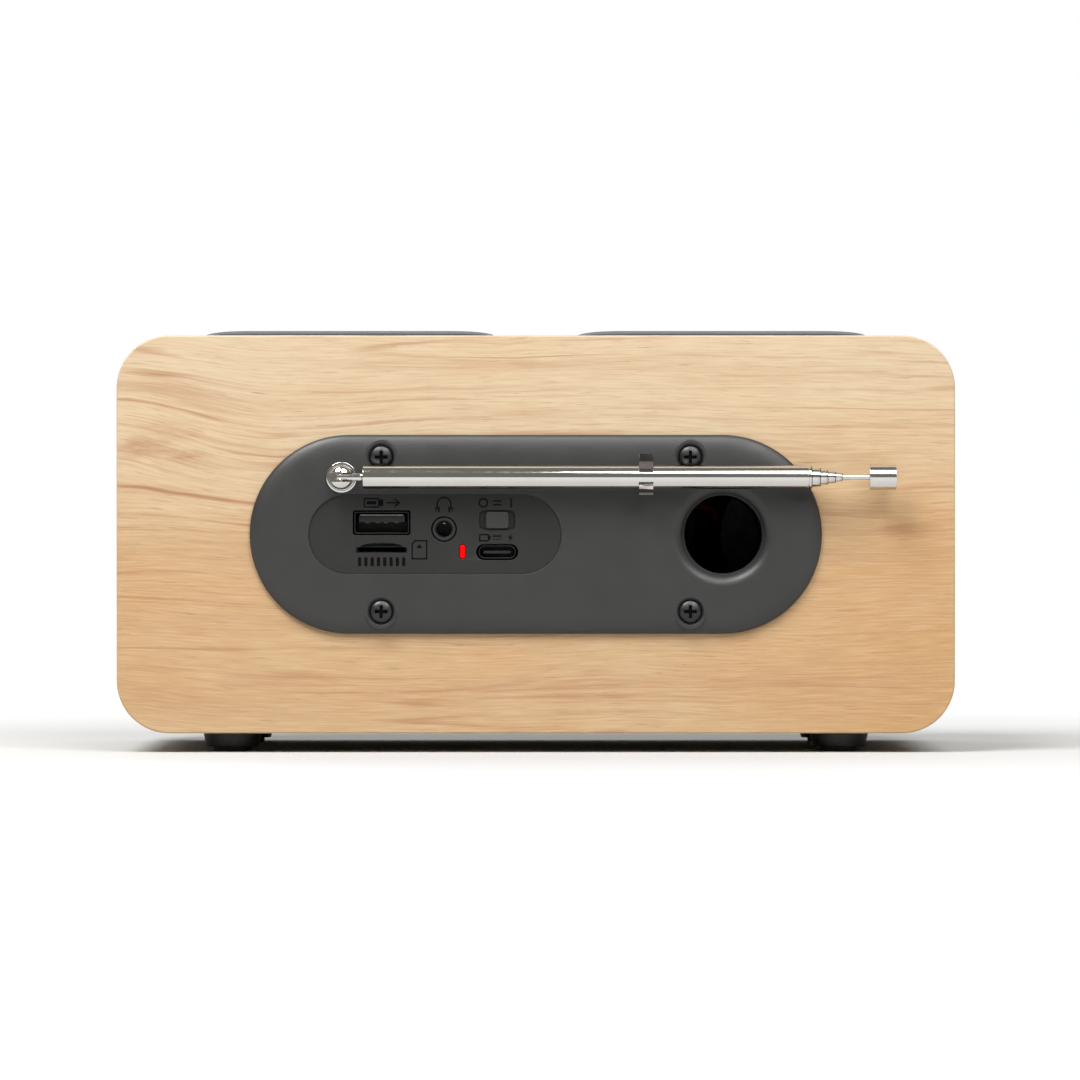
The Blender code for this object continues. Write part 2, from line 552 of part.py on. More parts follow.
def make_sockets():
    """The charging and data sockets, the earphone jack and the card reader, each on the main board."""
    place = (*USB_A_UV, 0)
    width, height = USB_A_SHELL
    outline = rounded(width, height, 0.4 * MM, 2)
    shell = add("usb_a_socket", plate_mesh([outline], USB_A_BACK, USB_A_FRONT), TIN, REAR, place)
    space_low, space_high = USB_A_BACK + 0.5 * MM, REACH
    space_size = (width - 2 * USB_A_WALL, height - 2 * USB_A_WALL, space_high - space_low)
    inside = box_mesh(space_size, (0, 0, (space_low + space_high) / 2))
    cut(shell, add("usb_a_inside", inside, None, REAR, place))
    tongue = box_mesh(USB_A_TONGUE, (0, USB_A_TONGUE_V, USB_A_BACK + 0.2 * MM + USB_A_TONGUE[2] / 2))
    join(shell, add("usb_a_tongue", tongue, None, REAR, place))

    place = (*USB_C_UV, 0)
    width, height = USB_C_SHELL
    outline = stadium(width, height, 5)
    shell = add("usb_c_socket", plate_mesh([outline], USB_C_BACK, USB_C_FRONT), TIN, REAR, place)
    space = stadium(width - 2 * USB_C_WALL, height - 2 * USB_C_WALL, 5)
    cut(shell, add("usb_c_inside", plate_mesh([space], USB_C_BACK + 1 * MM, REACH), None, REAR, place))
    tongue = box_mesh(USB_C_TONGUE, (0, 0, USB_C_BACK + 0.5 * MM + USB_C_TONGUE[2] / 2))
    join(shell, add("usb_c_tongue", tongue, None, REAR, place))

    place = (*JACK_UV, 0)
    profile = (
        (JACK_R, JACK_FRONT),
        (JACK_R, JACK_NECK),
        (JACK_BORE_R, JACK_NECK),
        (JACK_BORE_R, JACK_FRONT),
    )
    jack = turned("audio_jack", profile, BLACK, REAR, place, sides=24, ring=True)
    body_v = BOARD_HIGH + TOUCH + JACK_BODY[1] / 2 - JACK_UV[1]
    body = box_mesh(JACK_BODY, (0, body_v, JACK_NECK + 0.1 * MM - JACK_BODY[2] / 2))
    join(jack, add("jack_body", body, None, REAR, place))
    cut(jack, add("jack_bore", cylinder_mesh(JACK_BORE_R, JACK_DEPTH, REACH, 24), None, REAR, place))

    place = (*CARD_UV, 0)
    cage = box_mesh(CARD_CAGE, (0, 0.1 * MM, PANEL_FACE - PANEL_T - 0.3 * MM - CARD_CAGE[2] / 2))
    reader = add("card_reader", cage, TIN, REAR, place)
    cut(reader, add("card_space", box_mesh(CARD_SPACE), None, REAR, place))


def make_power_switch():
    """A slide switch: its housing on the board, and the knob that shows in the panel."""
    place = (*SWITCH_UV, 0)
    front = PANEL_FACE - PANEL_T - TOUCH
    low = BOARD_HIGH + TOUCH - SWITCH_UV[1]
    body_size = (SWITCH_BODY_W, SWITCH_BODY_TOP - low, SWITCH_BODY_DEPTH)
    body = box_mesh(body_size, (0, (SWITCH_BODY_TOP + low) / 2, front - SWITCH_BODY_DEPTH / 2))
    housing = add("power_switch_housing", body, BLACK, REAR, place)
    cut(housing, add("switch_slit", box_mesh(SWITCH_SLIT, (0, 0, front)), None, REAR, place))
    cap = plate_mesh([rounded(*KNOB_SIZE, 0.6 * MM, 3)], front + TOUCH, KNOB_TOP)
    knob = add("power_switch_knob", cap, GREY, REAR, place)
    lever = box_mesh(LEVER, (0, 0, front - 0.9 * MM))
    join(knob, add("switch_lever", lever, None, REAR, place))


def make_charge_light():
    """The red light pipe beside the charging socket."""
    outline = rounded(LIGHT_W, LIGHT_H, LIGHT_W / 2, 4)
    pipe = plate_mesh([outline], BOARD_REAR + 0.4 * MM, PANEL_FACE - 0.1 * MM)
    add("charge_light_pipe", pipe, RED, REAR, (*LIGHT_UV, 0))


def make_main_board():
    """The main board with its larger components standing on it."""
    size = (BOARD_W, BOARD_HIGH - BOARD_LOW, BOARD_LENGTH)
    middle = (BOARD_U, (BOARD_LOW + BOARD_HIGH) / 2, BOARD_REAR - BOARD_LENGTH / 2)
    board = add("main_board", box_mesh(size, middle), BOARD, REAR)
    for width, height, length, u, w in COMPONENTS:
        centre = (u, BOARD_HIGH + (height - SUNK) / 2, w)
        join(board, add("component", box_mesh((width, height + SUNK, length), centre), None, REAR))


def make_aerial_mount():
    """The threaded bush with its flange and nut, the swivel that turns in it, and the elbow's pin."""
    seat = PLATE_FLAT + TOUCH
    profile = (
        (FLANGE_R, seat + FLANGE_T),
        (FLANGE_R, seat),
        (BUSH_R, seat),
        (BUSH_R, 0),
        (NUT_R, 0),
        (NUT_R, -NUT_T),
        (BUSH_R, -NUT_T),
        (BUSH_R, BUSH_END),
        (BUSH_BORE_R, BUSH_END),
        (BUSH_BORE_R, seat + FLANGE_T),
    )
    turned("aerial_bush", profile, CHROME, REAR, (PIVOT_U, PIVOT_V, 0), sides=24, ring=True)

    low, edge = seat + FLANGE_T + TOUCH - PIVOT_W, 0.4 * MM
    shaft_end = SHAFT_END - PIVOT_W
    angles = [math.radians(15 * step) for step in range(1, 7)]
    dome = [(0, BALL_R)]
    dome += [(BALL_R * math.sin(a), BALL_R * math.cos(a)) for a in angles]
    dome += [
        (BALL_R, low + edge),
        (BALL_R - edge, low),
        (SHAFT_R, low),
        (SHAFT_R, shaft_end),
        (SHAFT_HEAD_R, shaft_end),
        (SHAFT_HEAD_R, shaft_end - SHAFT_HEAD_T),
        (0, shaft_end - SHAFT_HEAD_T),
    ]
    swivel = turned("aerial_swivel", dome, CHROME, REAR, (PIVOT_U, PIVOT_V, PIVOT_W), sides=24)
    slot = box_mesh((20 * MM, 2 * SLOT_HALF, 10 * MM), (0, 0, 5 * MM - TONGUE_R - TOUCH))
    bore = cylinder_mesh(PIN_R + 0.1 * MM, -10 * MM, 10 * MM, FINE)
    cut(swivel, add("elbow_slot", slot, None, REAR, (PIVOT_U, PIVOT_V, PIVOT_W)))
    cut(swivel, add("swivel_pin_bore", bore, None, REAR, (PIVOT_U, PIVOT_V, PIVOT_W), (90, 0, 0)))
    pin = cylinder_mesh(PIN_R, -PIN_LENGTH / 2, PIN_LENGTH / 2, FINE)
    add("aerial_elbow_pin", pin, TIN, REAR, (PIVOT_U, PIVOT_V, PIVOT_W), (90, 0, 0))


def make_aerial():
    """The telescopic aerial: an outer tube with a tongue on the elbow's pin, four sections and a rod."""
    edge = 0.3 * MM
    profile = (
        (0, TUBE_START),
        (TUBE_R - edge, TUBE_START),
        (TUBE_R, TUBE_START + edge),
        (TUBE_R, TUBE_END),
        (TUBE_BORE_R, TUBE_END),
        (TUBE_BORE_R, TUBE_START + TUBE_PLUG),
        (0, TUBE_START + TUBE_PLUG),
    )
    tube = turned("aerial_tube", profile[::-1], CHROME, AERIAL, sides=24)
    tongue_end = TUBE_START + SUNK
    tongue = box_mesh((2 * TONGUE_R, TONGUE_T, tongue_end), (0, 0, tongue_end / 2))
    eye = cylinder_mesh(TONGUE_R, -TONGUE_T / 2, TONGUE_T / 2, FINE)
    join(tube, add("tongue", tongue, None, AERIAL))
    join(tube, add("tongue_eye", eye, None, AERIAL, rotation=(90, 0, 0)))
    bore = cylinder_mesh(PIN_BORE_R, -10 * MM, 10 * MM, FINE)
    cut(tube, add("tongue_bore", bore, None, AERIAL, rotation=(90, 0, 0)))
    for number, (outer, inner, start, end) in enumerate(SECTIONS, 2):
        loop = ((outer, end), (outer, start), (inner, start), (inner, end))
        turned(f"aerial_section_{number}", loop, CHROME, AERIAL, sides=24, ring=True)
    add("aerial_rod", cylinder_mesh(ROD_R, ROD_START, ROD_END, 16), CHROME, AERIAL)
    edge = 0.2 * MM
    tip = (
        (0, TIP_END),
        (TIP_R - edge, TIP_END),
        (TIP_R, TIP_END - edge),
        (TIP_R, TIP_START + edge),
        (TIP_R - edge, TIP_START),
        (TIP_BORE_R, TIP_START),
        (TIP_BORE_R, ROD_END + TOUCH),
        (0, ROD_END + TOUCH),
    )
    turned("aerial_tip", tip, CHROME, AERIAL, sides=24)


def make_aerial_clip():
    """A spring clip bent from strip: it hugs the tube, narrows to a neck and flares out at both lips."""
    radius = TUBE_R + 0.15 * MM + CLIP_T / 2
    neck = math.asin(CLIP_NECK / radius)
    turns = 20
    arc = []
    for step in range(turns + 1):
        angle = neck + (2 * math.pi - 2 * neck) * step / turns
        arc.append((PIVOT_W + radius * math.cos(angle), radius * math.sin(angle)))
    upper = [*CLIP_FLARE, CLIP_UPPER_LIP]
    lower = [*((w, -v) for w, v in CLIP_FLARE), CLIP_LOWER_LIP]
    bm = bmesh.new()
    line = [bm.verts.new((-CLIP_WIDTH / 2, v, w)) for w, v in [*reversed(upper), *arc, *lower]]
    edges = [bm.edges.new(pair) for pair in zip(line, line[1:])]
    strip = bmesh.ops.extrude_edge_only(bm, edges=edges)["geom"]
    moved = [item for item in strip if isinstance(item, bmesh.types.BMVert)]
    bmesh.ops.translate(bm, verts=moved, vec=(CLIP_WIDTH, 0, 0))
    clip = add("aerial_clip", finished(bm, "clip"), STEEL, REAR, (CLIP_U, PIVOT_V, 0))
    thick = clip.modifiers.new("strip", "SOLIDIFY")
    thick.thickness = CLIP_T
    thick.offset = 0
    thick.use_even_offset = True
    foot_w = PLATE_FLAT + TOUCH / 2 + CLIP_FOOT_T / 2
    foot = box_mesh((CLIP_WIDTH, CLIP_FOOT_H, CLIP_FOOT_T), (0, 0, foot_w))
    join(clip, add("clip_foot", foot, None, REAR, (CLIP_U, PIVOT_V, 0)))


def make_front():
    """The cloth-covered grille, the display window, and the baffle behind them."""
    outline = rounded(FRONT_W, FRONT_H, FRONT_R, 4)
    grille_back = -GRILLE_SET_BACK - GRILLE_T
    lens_hole = stadium(LENS_W + 2 * SLIP, LENS_H + 2 * SLIP)
    add("front_grille", plate_mesh([outline, lens_hole], grille_back, -GRILLE_SET_BACK), CLOTH, FRONT)
    lens = plate_mesh([stadium(LENS_W, LENS_H)], -GRILLE_SET_BACK - LENS_T, -GRILLE_SET_BACK)
    add("display_lens", lens, GLASS, FRONT)
    baffle_front = grille_back - TOUCH
    holes = [circle(SPEAKER_HOLE_R, (side * SPEAKER_X, 0)) for side in (-1, 1)]
    window = rounded(DISPLAY_W + 2 * SLIP, DISPLAY_H + 2 * SLIP, 0.5 * MM, 1)
    baffle = plate_mesh([outline, *holes, window], baffle_front - BAFFLE_T, baffle_front)
    add("front_baffle", baffle, BLACK, FRONT)
    front = baffle_front - DISPLAY_GAP
    digits = box_mesh((DISPLAY_W, DISPLAY_H, DISPLAY_T), (0, 0, front - DISPLAY_T / 2))
    display = add("display_module", digits, BLACK, FRONT)
    board_size = (DISPLAY_W + 2 * DISPLAY_BOARD_EDGE, DISPLAY_H + 2 * DISPLAY_BOARD_EDGE, DISPLAY_BOARD_T)
    board = box_mesh(board_size, (0, 0, front - DISPLAY_T - DISPLAY_BOARD_T / 2 + 0.1 * MM))
    join(display, add("display_board", board, None, FRONT))
    return baffle_front - BAFFLE_T


def make_speakers(back):
    """Two full-range drivers behind the baffle: a frame with its magnet, and the cone that moves in it."""
    for side, x in (("left", -SPEAKER_X), ("right", SPEAKER_X)):
        place = (x, 0, back - TOUCH)
        turned(f"speaker_frame_{side}", SPEAKER_FRAME, STEEL, FRONT, place, sides=24)
        turned(f"speaker_cone_{side}", SPEAKER_CONE, PAPER, FRONT, place, sides=24)


def join_stems(key, width, low, high, deck, at):
    """The stems that press the switches: one under a short key, and two under a long one."""
    places = (0,) if width < 2 * KEY_W else (-width * STEM_PLACE, width * STEM_PLACE)
    for place in places:
        stem = box_mesh((STEM, STEM, high - low), (place, 0, (high + low) / 2))
        join(key, add("key_stem", stem, None, deck, at))


def make_key(name, width, deck, x, y):
    """A key: its cap, the flange that keeps it in the deck, and its stems."""
    at = (x, y, 0)
    cap = plate_mesh([rounded(width, KEY_D, KEY_R, 4)], KEY_FLANGE_LOW, DECK_TOP)
    key = add(name, cap, RUBBER, deck, at)
    flange = rounded(width + 2 * KEY_FLANGE, KEY_D + 2 * KEY_FLANGE, KEY_R, 2)
    join(key, add("key_flange", plate_mesh([flange], KEY_FLANGE_LOW, KEY_FLANGE_HIGH), None, deck, at))
    join_stems(key, width, STEM_FOOT, KEY_FLANGE_HIGH, deck, at)


def make_rocker(deck):
    """The volume key rocks on a trunnion under its middle. Its origin is on that axis."""
    at, drop = (0, -ROW_Y, TRUNNION_Z), -TRUNNION_Z
    cap = plate_mesh([rounded(BAR_W, KEY_D, KEY_R, 4)], drop, drop + DECK_TOP)
    rocker = add("volume_rocker", cap, RUBBER, deck, at)
    trunnion = cylinder_mesh(TRUNNION_R, -TRUNNION_HALF, TRUNNION_HALF, FINE)
    join(rocker, add("trunnion", trunnion, None, deck, at, (90, 0, 0)))
    web = box_mesh((WEB_W, KEY_D - 1 * MM, WEB_H), (0, 0, 0.3 * MM))
    join(rocker, add("trunnion_web", web, None, deck, at))
    join_stems(rocker, BAR_W, STEM_FOOT + drop, drop + 0.5 * MM, deck, at)


def make_deck(side, frame, key_names, with_rocker):
    """A raised deck with a rounded shoulder, three keys behind, a long one in front, and their board."""
    outline = rounded(DECK_W, DECK_DEPTH, DECK_R, 6)
    roof = pillow_mesh(outline, TOUCH, TOUCH + DECK_LIP, DECK_TOP, DECK_SHOULDER)
    deck = add(f"control_deck_{side}", roof, GREY, frame)
    skirt_w, skirt_d = DECK_CUT_W - 2 * SLIP, DECK_CUT_D - 2 * SLIP
    skirt = rounded(skirt_w, skirt_d, DECK_CUT_R - SLIP, 3)
    inside = rounded(skirt_w - 2 * SKIRT_WALL, skirt_d - 2 * SKIRT_WALL, DECK_CUT_R - SLIP - SKIRT_WALL, 3)
    join(deck, add("deck_skirt", plate_mesh([skirt], -SKIRT_DEPTH, DECK_LIP), None, frame))
    cut(deck, add("deck_inside", plate_mesh([inside], -REACH, DECK_TOP - DECK_ROOF), None, frame))
    hole_outline = rounded(KEY_W + 2 * KEY_SLIP, KEY_D + 2 * KEY_SLIP, KEY_R + KEY_SLIP, 4)
    hole = plate_mesh([hole_outline], 0, REACH)
    for column, name in zip((-1, 0, 1), key_names):
        x = column * COLUMN_X
        cut(deck, add("key_hole", hole, None, frame, (x, ROW_Y, 0)))
        make_key(name, KEY_W, frame, x, ROW_Y)
    end_slip = ROCKER_END_SLIP if with_rocker else KEY_SLIP
    bar_hole = rounded(BAR_W + 2 * end_slip, KEY_D + 2 * KEY_SLIP, KEY_R + KEY_SLIP, 4)
    cut(deck, add("bar_hole", plate_mesh([bar_hole], 0, REACH), None, frame, (0, -ROW_Y, 0)))
    if with_rocker:
        high = DECK_TOP - DECK_ROOF / 2
        for side_y in (-1, 1):
            y = side_y * (KEY_D / 2 + KEY_SLIP + BEARING_T / 2)
            size = (BEARING_W, BEARING_T, high - BEARING_FOOT)
            bearing = box_mesh(size, (0, y, (high + BEARING_FOOT) / 2))
            join(deck, add("bearing", bearing, None, frame, (0, -ROW_Y, 0)))
        bore = cylinder_mesh(TRUNNION_BORE_R, -9 * MM, 9 * MM, FINE)
        cut(deck, add("bearing_bore", bore, None, frame, (0, -ROW_Y, TRUNNION_Z), (90, 0, 0)))
        make_rocker(frame)
    else:
        make_key("snooze_bar", BAR_W, frame, 0, -ROW_Y)

    board_w = skirt_w - 2 * SKIRT_WALL - 2 * SLIP
    board_d = skirt_d - 2 * SKIRT_WALL - 2 * SLIP
    outline = rounded(board_w, board_d, DECK_CUT_R - 2 * SLIP - SKIRT_WALL, 3)
    sheet = plate_mesh([outline], KEY_BOARD_LOW, KEY_BOARD_LOW + KEY_BOARD_T)
    board = add(f"key_board_{side}", sheet, BOARD, frame)
    places = [(column * COLUMN_X, ROW_Y) for column in (-1, 0, 1)]
    places += [(end * BAR_W * STEM_PLACE, -ROW_Y) for end in (-1, 1)]
    low = KEY_BOARD_LOW + KEY_BOARD_T / 2
    for x, y in places:
        switch = box_mesh((SWITCH_SIDE, SWITCH_SIDE, SWITCH_TOP - low), (x, y, (SWITCH_TOP + low) / 2))
        join(board, add("key_switch", switch, None, frame))


def make_battery():
    """A rechargeable cell lying in a tray on the floor of the case."""
    floor = FOOT_H + WALL + TOUCH
    axis = (0, BATTERY_Y, floor + CELL_LIFT + CELL_R)
    lying = (0, 90, 0)
    body = box_mesh((HOLDER_LENGTH, HOLDER_WIDTH, HOLDER_HEIGHT), (0, BATTERY_Y, floor + HOLDER_HEIGHT / 2))
    tray = add("battery_holder", body, BLACK)
    half = CELL_LENGTH / 2 + CELL_END_SPACE
    cut(tray, add("cell_bed", cylinder_mesh(CELL_R + SLIP, -half, half), None, None, axis, lying))
    way_in = box_mesh((2 * half, 2 * (CELL_R + SLIP), REACH), (0, 0, REACH / 2))
    cut(tray, add("cell_way_in", way_in, None, None, axis))
    can = cylinder_mesh(CELL_R, -CELL_LENGTH / 2, CELL_LENGTH / 2)
    cell = add("battery_cell", can, CELL, None, axis, lying)
    nub = cylinder_mesh(CELL_NUB_R, CELL_LENGTH / 2 - SUNK, CELL_LENGTH / 2 + CELL_NUB, FINE)
    join(cell, add("cell_nub", nub, None, None, axis, lying))


def make_leads():
    """The leads inside the case: from each speaker, and from the aerial's nut, to the main board."""
    magnet_y = FRONT_Y + 25.5 * MM
    board_y = REAR_Y + BOARD_REAR - BOARD_LENGTH
    lead_z = MIDDLE_Z + BOARD_HIGH + 1.2 * MM
    for side, sign, board_x in (("left", -1, 4 * MM), ("right", 1, 33 * MM)):
        start_x = sign * (SPEAKER_X - MAGNET_R - 1.2 * MM)
        wire(
            f"speaker_lead_{side}",
            (
                (start_x, magnet_y, MIDDLE_Z + 4 * MM),
                (start_x - sign * 3 * MM, magnet_y + 3 * MM, MIDDLE_Z + 7 * MM),
                ((start_x + board_x) / 2, board_y - 9 * MM, MIDDLE_Z + 10 * MM),
                (board_x, board_y - 3 * MM, lead_z + 3 * MM),
                (board_x, board_y + 3 * MM, lead_z),
            ),
            LEAD_R,
            SHEATH,
        )
    wire(
        "aerial_lead",
        (
            (-PIVOT_U - 3.6 * MM, REAR_Y - 3.5 * MM, MIDDLE_Z + PIVOT_V - 2.5 * MM),
            (-PIVOT_U - 5.5 * MM, REAR_Y - 9 * MM, MIDDLE_Z + PIVOT_V - 3.5 * MM),
            (42 * MM, REAR_Y - 17 * MM, MIDDLE_Z + 9 * MM),
            (45.5 * MM, REAR_Y - 20 * MM, lead_z + 2 * MM),
            (45.5 * MM, REAR_Y - 24 * MM, lead_z),
        ),
        AERIAL_LEAD_R,
        SHEATH,
    )


make_case()
make_feet()
make_service_plate()
make_bass_port()
make_screws()
make_socket_panel()
make_sockets()
make_power_switch()
make_charge_light()
make_main_board()
make_aerial_mount()
make_aerial()
make_aerial_clip()
make_speakers(make_front())
make_deck("left", LEFT_DECK, ("power_key", "alarm_one_key", "alarm_two_key"), with_rocker=False)
make_deck("right", RIGHT_DECK, ("previous_key", "play_key", "next_key"), with_rocker=True)
make_battery()
make_leads()
bpy.context.view_layer.update()
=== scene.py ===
import math
from collections import namedtuple

import bmesh
import bpy
from mathutils import Matrix, Vector


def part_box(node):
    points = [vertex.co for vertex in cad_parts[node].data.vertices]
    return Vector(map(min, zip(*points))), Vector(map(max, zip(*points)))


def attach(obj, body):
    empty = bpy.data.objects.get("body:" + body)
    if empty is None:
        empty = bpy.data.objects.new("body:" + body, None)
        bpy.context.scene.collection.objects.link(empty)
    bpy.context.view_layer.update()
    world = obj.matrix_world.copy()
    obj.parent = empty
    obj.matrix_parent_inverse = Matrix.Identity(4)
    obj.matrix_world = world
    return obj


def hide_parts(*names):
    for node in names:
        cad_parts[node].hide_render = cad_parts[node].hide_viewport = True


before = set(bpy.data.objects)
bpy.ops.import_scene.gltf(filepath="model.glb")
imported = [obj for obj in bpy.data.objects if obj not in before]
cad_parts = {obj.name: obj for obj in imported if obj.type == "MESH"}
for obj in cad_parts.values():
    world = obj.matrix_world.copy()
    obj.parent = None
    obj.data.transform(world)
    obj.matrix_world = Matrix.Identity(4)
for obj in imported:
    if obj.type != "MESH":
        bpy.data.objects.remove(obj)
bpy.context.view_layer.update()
MM = 0.001


def mm(*sizes):
    """Sizes in millimetres, as a tuple in metres."""
    return tuple(size * MM for size in sizes)


# ---------------------------------------------------------------- places, all taken from the frame

CASE_LOW, CASE_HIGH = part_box("cabinet")
CASE_W, CASE_H = CASE_HIGH.x - CASE_LOW.x, CASE_HIGH.z - CASE_LOW.z
CASE_D, MIDDLE_Z = CASE_HIGH.y - CASE_LOW.y, (CASE_HIGH.z + CASE_LOW.z) / 2


def axes(origin, u, v, w):
    """A frame whose three axes, seen from its own front, point right, up and towards the viewer."""
    turn = Matrix((u, v, w)).transposed().to_4x4()
    return Matrix.Translation(origin) @ turn


REAR = axes((0, CASE_HIGH.y, MIDDLE_Z), (-1, 0, 0), (0, 0, 1), (0, 1, 0))
FRONT = axes((0, CASE_LOW.y, MIDDLE_Z), (1, 0, 0), (0, 0, 1), (0, -1, 0))
WORLD = Matrix.Identity(4)
Box = namedtuple("Box", "middle size low high")


def on_rear(x, y, w=0.0):
    """The back's frame with its origin moved to a point."""
    return REAR @ Matrix.Translation((x, y, w))


def local_box(node, place=REAR):
    """The middle, size and corners of a CAD node, in a frame."""
    corners = [place.inverted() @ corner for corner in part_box(node)]
    low = Vector(map(min, *corners))
    high = Vector(map(max, *corners))
    return Box((low + high) / 2, high - low, low, high)


# ---------------------------------------------------------------- outlines, anticlockwise lists of (x, y)

SAME_POINT = 0.005 * MM
SHARPEST = 0.4  # limits how far an offset runs out at a sharp corner
STRAIGHT = math.radians(170)


def quarter(steps):
    """The angles of a quarter turn, in even steps."""
    return [math.radians(90 * step / steps) for step in range(steps + 1)]


def rounded(width, height, radius, steps=12, centre=(0, 0)):
    points = []
    for corner, (sx, sy) in enumerate(((1, 1), (-1, 1), (-1, -1), (1, -1))):
        cx = centre[0] + sx * (width / 2 - radius)
        cy = centre[1] + sy * (height / 2 - radius)
        for step in range(steps + 1):
            angle = math.radians(90 * (corner + step / steps))
            point = (cx + radius * math.cos(angle), cy + radius * math.sin(angle))
            if not points or math.dist(point, points[-1]) > SAME_POINT:
                points.append(point)
    if math.dist(points[0], points[-1]) < SAME_POINT:
        points.pop()
    return points


def stadium(width, height, steps=24, centre=(0, 0)):
    return rounded(width, height, min(width, height) / 2, steps, centre)


def circle(radius, sides=48, centre=(0, 0)):
    turns = [i * 2 * math.pi / sides for i in range(sides)]
    return [(centre[0] + radius * math.cos(a), centre[1] + radius * math.sin(a)) for a in turns]


def offset(loop, distance):
    """The outline moved inwards by distance, or outwards where that is negative."""
    moved = []
    for i, (x, y) in enumerate(loop):
        last, following = loop[i - 1], loop[(i + 1) % len(loop)]
        before = Vector((x - last[0], y - last[1])).normalized()
        after = Vector((following[0] - x, following[1] - y)).normalized()
        normal = Vector((-before.y - after.y, before.x + after.x)).normalized()
        reach = distance / max(normal.dot(Vector((-before.y, before.x))), SHARPEST)
        moved.append((x + normal.x * reach, y + normal.y * reach))
    return moved


def smooth_path(points, radius, steps=4):
    """An open path with its inner corners rounded."""
    path = [Vector(points[0])]
    for a, b, c in zip(points, points[1:], points[2:]):
        a, b, c = Vector(a), Vector(b), Vector(c)
        first, second = (a - b), (c - b)
        turn = first.angle(second) if first.length and second.length else math.pi
        if turn > STRAIGHT:
            path.append(b)
            continue
        near = min(radius / math.tan(turn / 2), first.length * 0.48, second.length * 0.48)
        start, end = b + first.normalized() * near, b + second.normalized() * near
        for step in range(steps + 1):
            t = step / steps
            path.append(start * (1 - t) ** 2 + b * 2 * t * (1 - t) + end * t ** 2)
    path.append(Vector(points[-1]))
    return [tuple(p) for p in path]


# ---------------------------------------------------------------- meshes

WELD = 0.002 * MM
ON_AXIS = 1e-7


def to_mesh(bm, name="mesh"):
    bmesh.ops.remove_doubles(bm, verts=bm.verts, dist=WELD)
    bmesh.ops.recalc_face_normals(bm, faces=bm.faces)
    mesh = bpy.data.meshes.new(name)
    bm.to_mesh(mesh)
    bm.free()
    return mesh


def ring_of(bm, loop, w):
    return [bm.verts.new((x, y, w)) for x, y in loop]


def bridge(bm, first, second):
    for i in range(len(first)):
        bm.faces.new((first[i - 1], first[i], second[i], second[i - 1]))


def cap(bm, rings):
    """A flat face inside the first ring with the others as holes."""
    edges = []
    for ring in rings:
        for i in range(len(ring)):
            pair = (ring[i - 1], ring[i])
            edges.append(bm.edges.get(pair) or bm.edges.new(pair))
    bmesh.ops.triangle_fill(bm, use_beauty=True, use_dissolve=False, edges=edges)


def lofted(walls):
    """A solid between walls, each a list of (outline, height) going up. The first is the outside."""
    bm = bmesh.new()
    bottoms, tops = [], []
    for wall in walls:
        rings = [ring_of(bm, loop, w) for loop, w in wall]
        for first, second in zip(rings, rings[1:]):
            bridge(bm, first, second)
        bottoms.append(rings[0])
        tops.append(rings[-1])
    cap(bm, bottoms)
    cap(bm, tops)
    return to_mesh(bm)


def wall_of(loop, low, high, fillet, way=1, steps=4, foot=0.0):
    """A wall with its top edge rounded, and its bottom edge where foot isn't zero. way is -1 for a hole."""
    wall = []
    if foot:
        for angle in quarter(steps):
            inset = foot * (1 - math.sin(angle))
            wall.append((offset(loop, way * inset), low + foot * (1 - math.cos(angle))))
    else:
        wall.append((loop, low))
    for angle in quarter(steps):
        inset = fillet * (1 - math.cos(angle))
        wall.append((offset(loop, way * inset), high - fillet + fillet * math.sin(angle)))
    return wall


def shoulder(outline, inset, low, high, steps):
    """The rounded shoulder of a raised plate, from its edge up to its flat face."""
    rise = high - low
    return [(offset(outline, inset * (1 - math.cos(a))), low + rise * math.sin(a)) for a in quarter(steps)]


def slab(outline, low, high, fillet=0.2 * MM, holes=(), hole_fillet=0.12 * MM, steps=4, foot=0.0):
    """A flat piece with rounded edges and holes."""
    walls = [wall_of(outline, low, high, fillet, 1, steps, foot)]
    walls += [wall_of(hole, low, high, hole_fillet, -1, 2) for hole in holes]
    return lofted(walls)


def block(size, centre=(0, 0, 0), fillet=0.15 * MM, corner=0.2 * MM):
    """A box with rounded edges all round."""
    outline = rounded(size[0], size[1], corner, 3, centre[:2])
    low, high = centre[2] - size[2] / 2, centre[2] + size[2] / 2
    return slab(outline, low, high, fillet, steps=3, foot=fillet)


def turned(profile, sides=64, ring=False):
    """A solid turned about the third axis, from (radius, height). A ring's profile is a closed loop."""
    bm = bmesh.new()
    rings = []
    for radius, height in profile:
        if radius < ON_AXIS:
            rings.append([bm.verts.new((0, 0, height))])
        else:
            rings.append(ring_of(bm, circle(radius, sides), height))
    pairs = list(zip(rings, rings[1:])) + ([(rings[-1], rings[0])] if ring else [])
    for first, second in pairs:
        if len(first) == 1 and len(second) == 1:
            continue
        if len(first) == 1 or len(second) == 1:
            tip, rim = (first[0], second) if len(first) == 1 else (second[0], first)
            for i in range(len(rim)):
                bm.faces.new((rim[i - 1], rim[i], tip))
        else:
            bridge(bm, first, second)
    return to_mesh(bm)


FACE_WEIGHT = 60


def placed(mesh, matrix):
    mesh = mesh.copy()
    mesh.transform(matrix)
    if matrix.is_negative:
        mesh.flip_normals()
    return mesh


def merged(*meshes):
    """One mesh of several that don't touch."""
    bm = bmesh.new()
    for mesh in meshes:
        bm.from_mesh(mesh)
    mesh = bpy.data.meshes.new("merged")
    bm.to_mesh(mesh)
    bm.free()
    return mesh


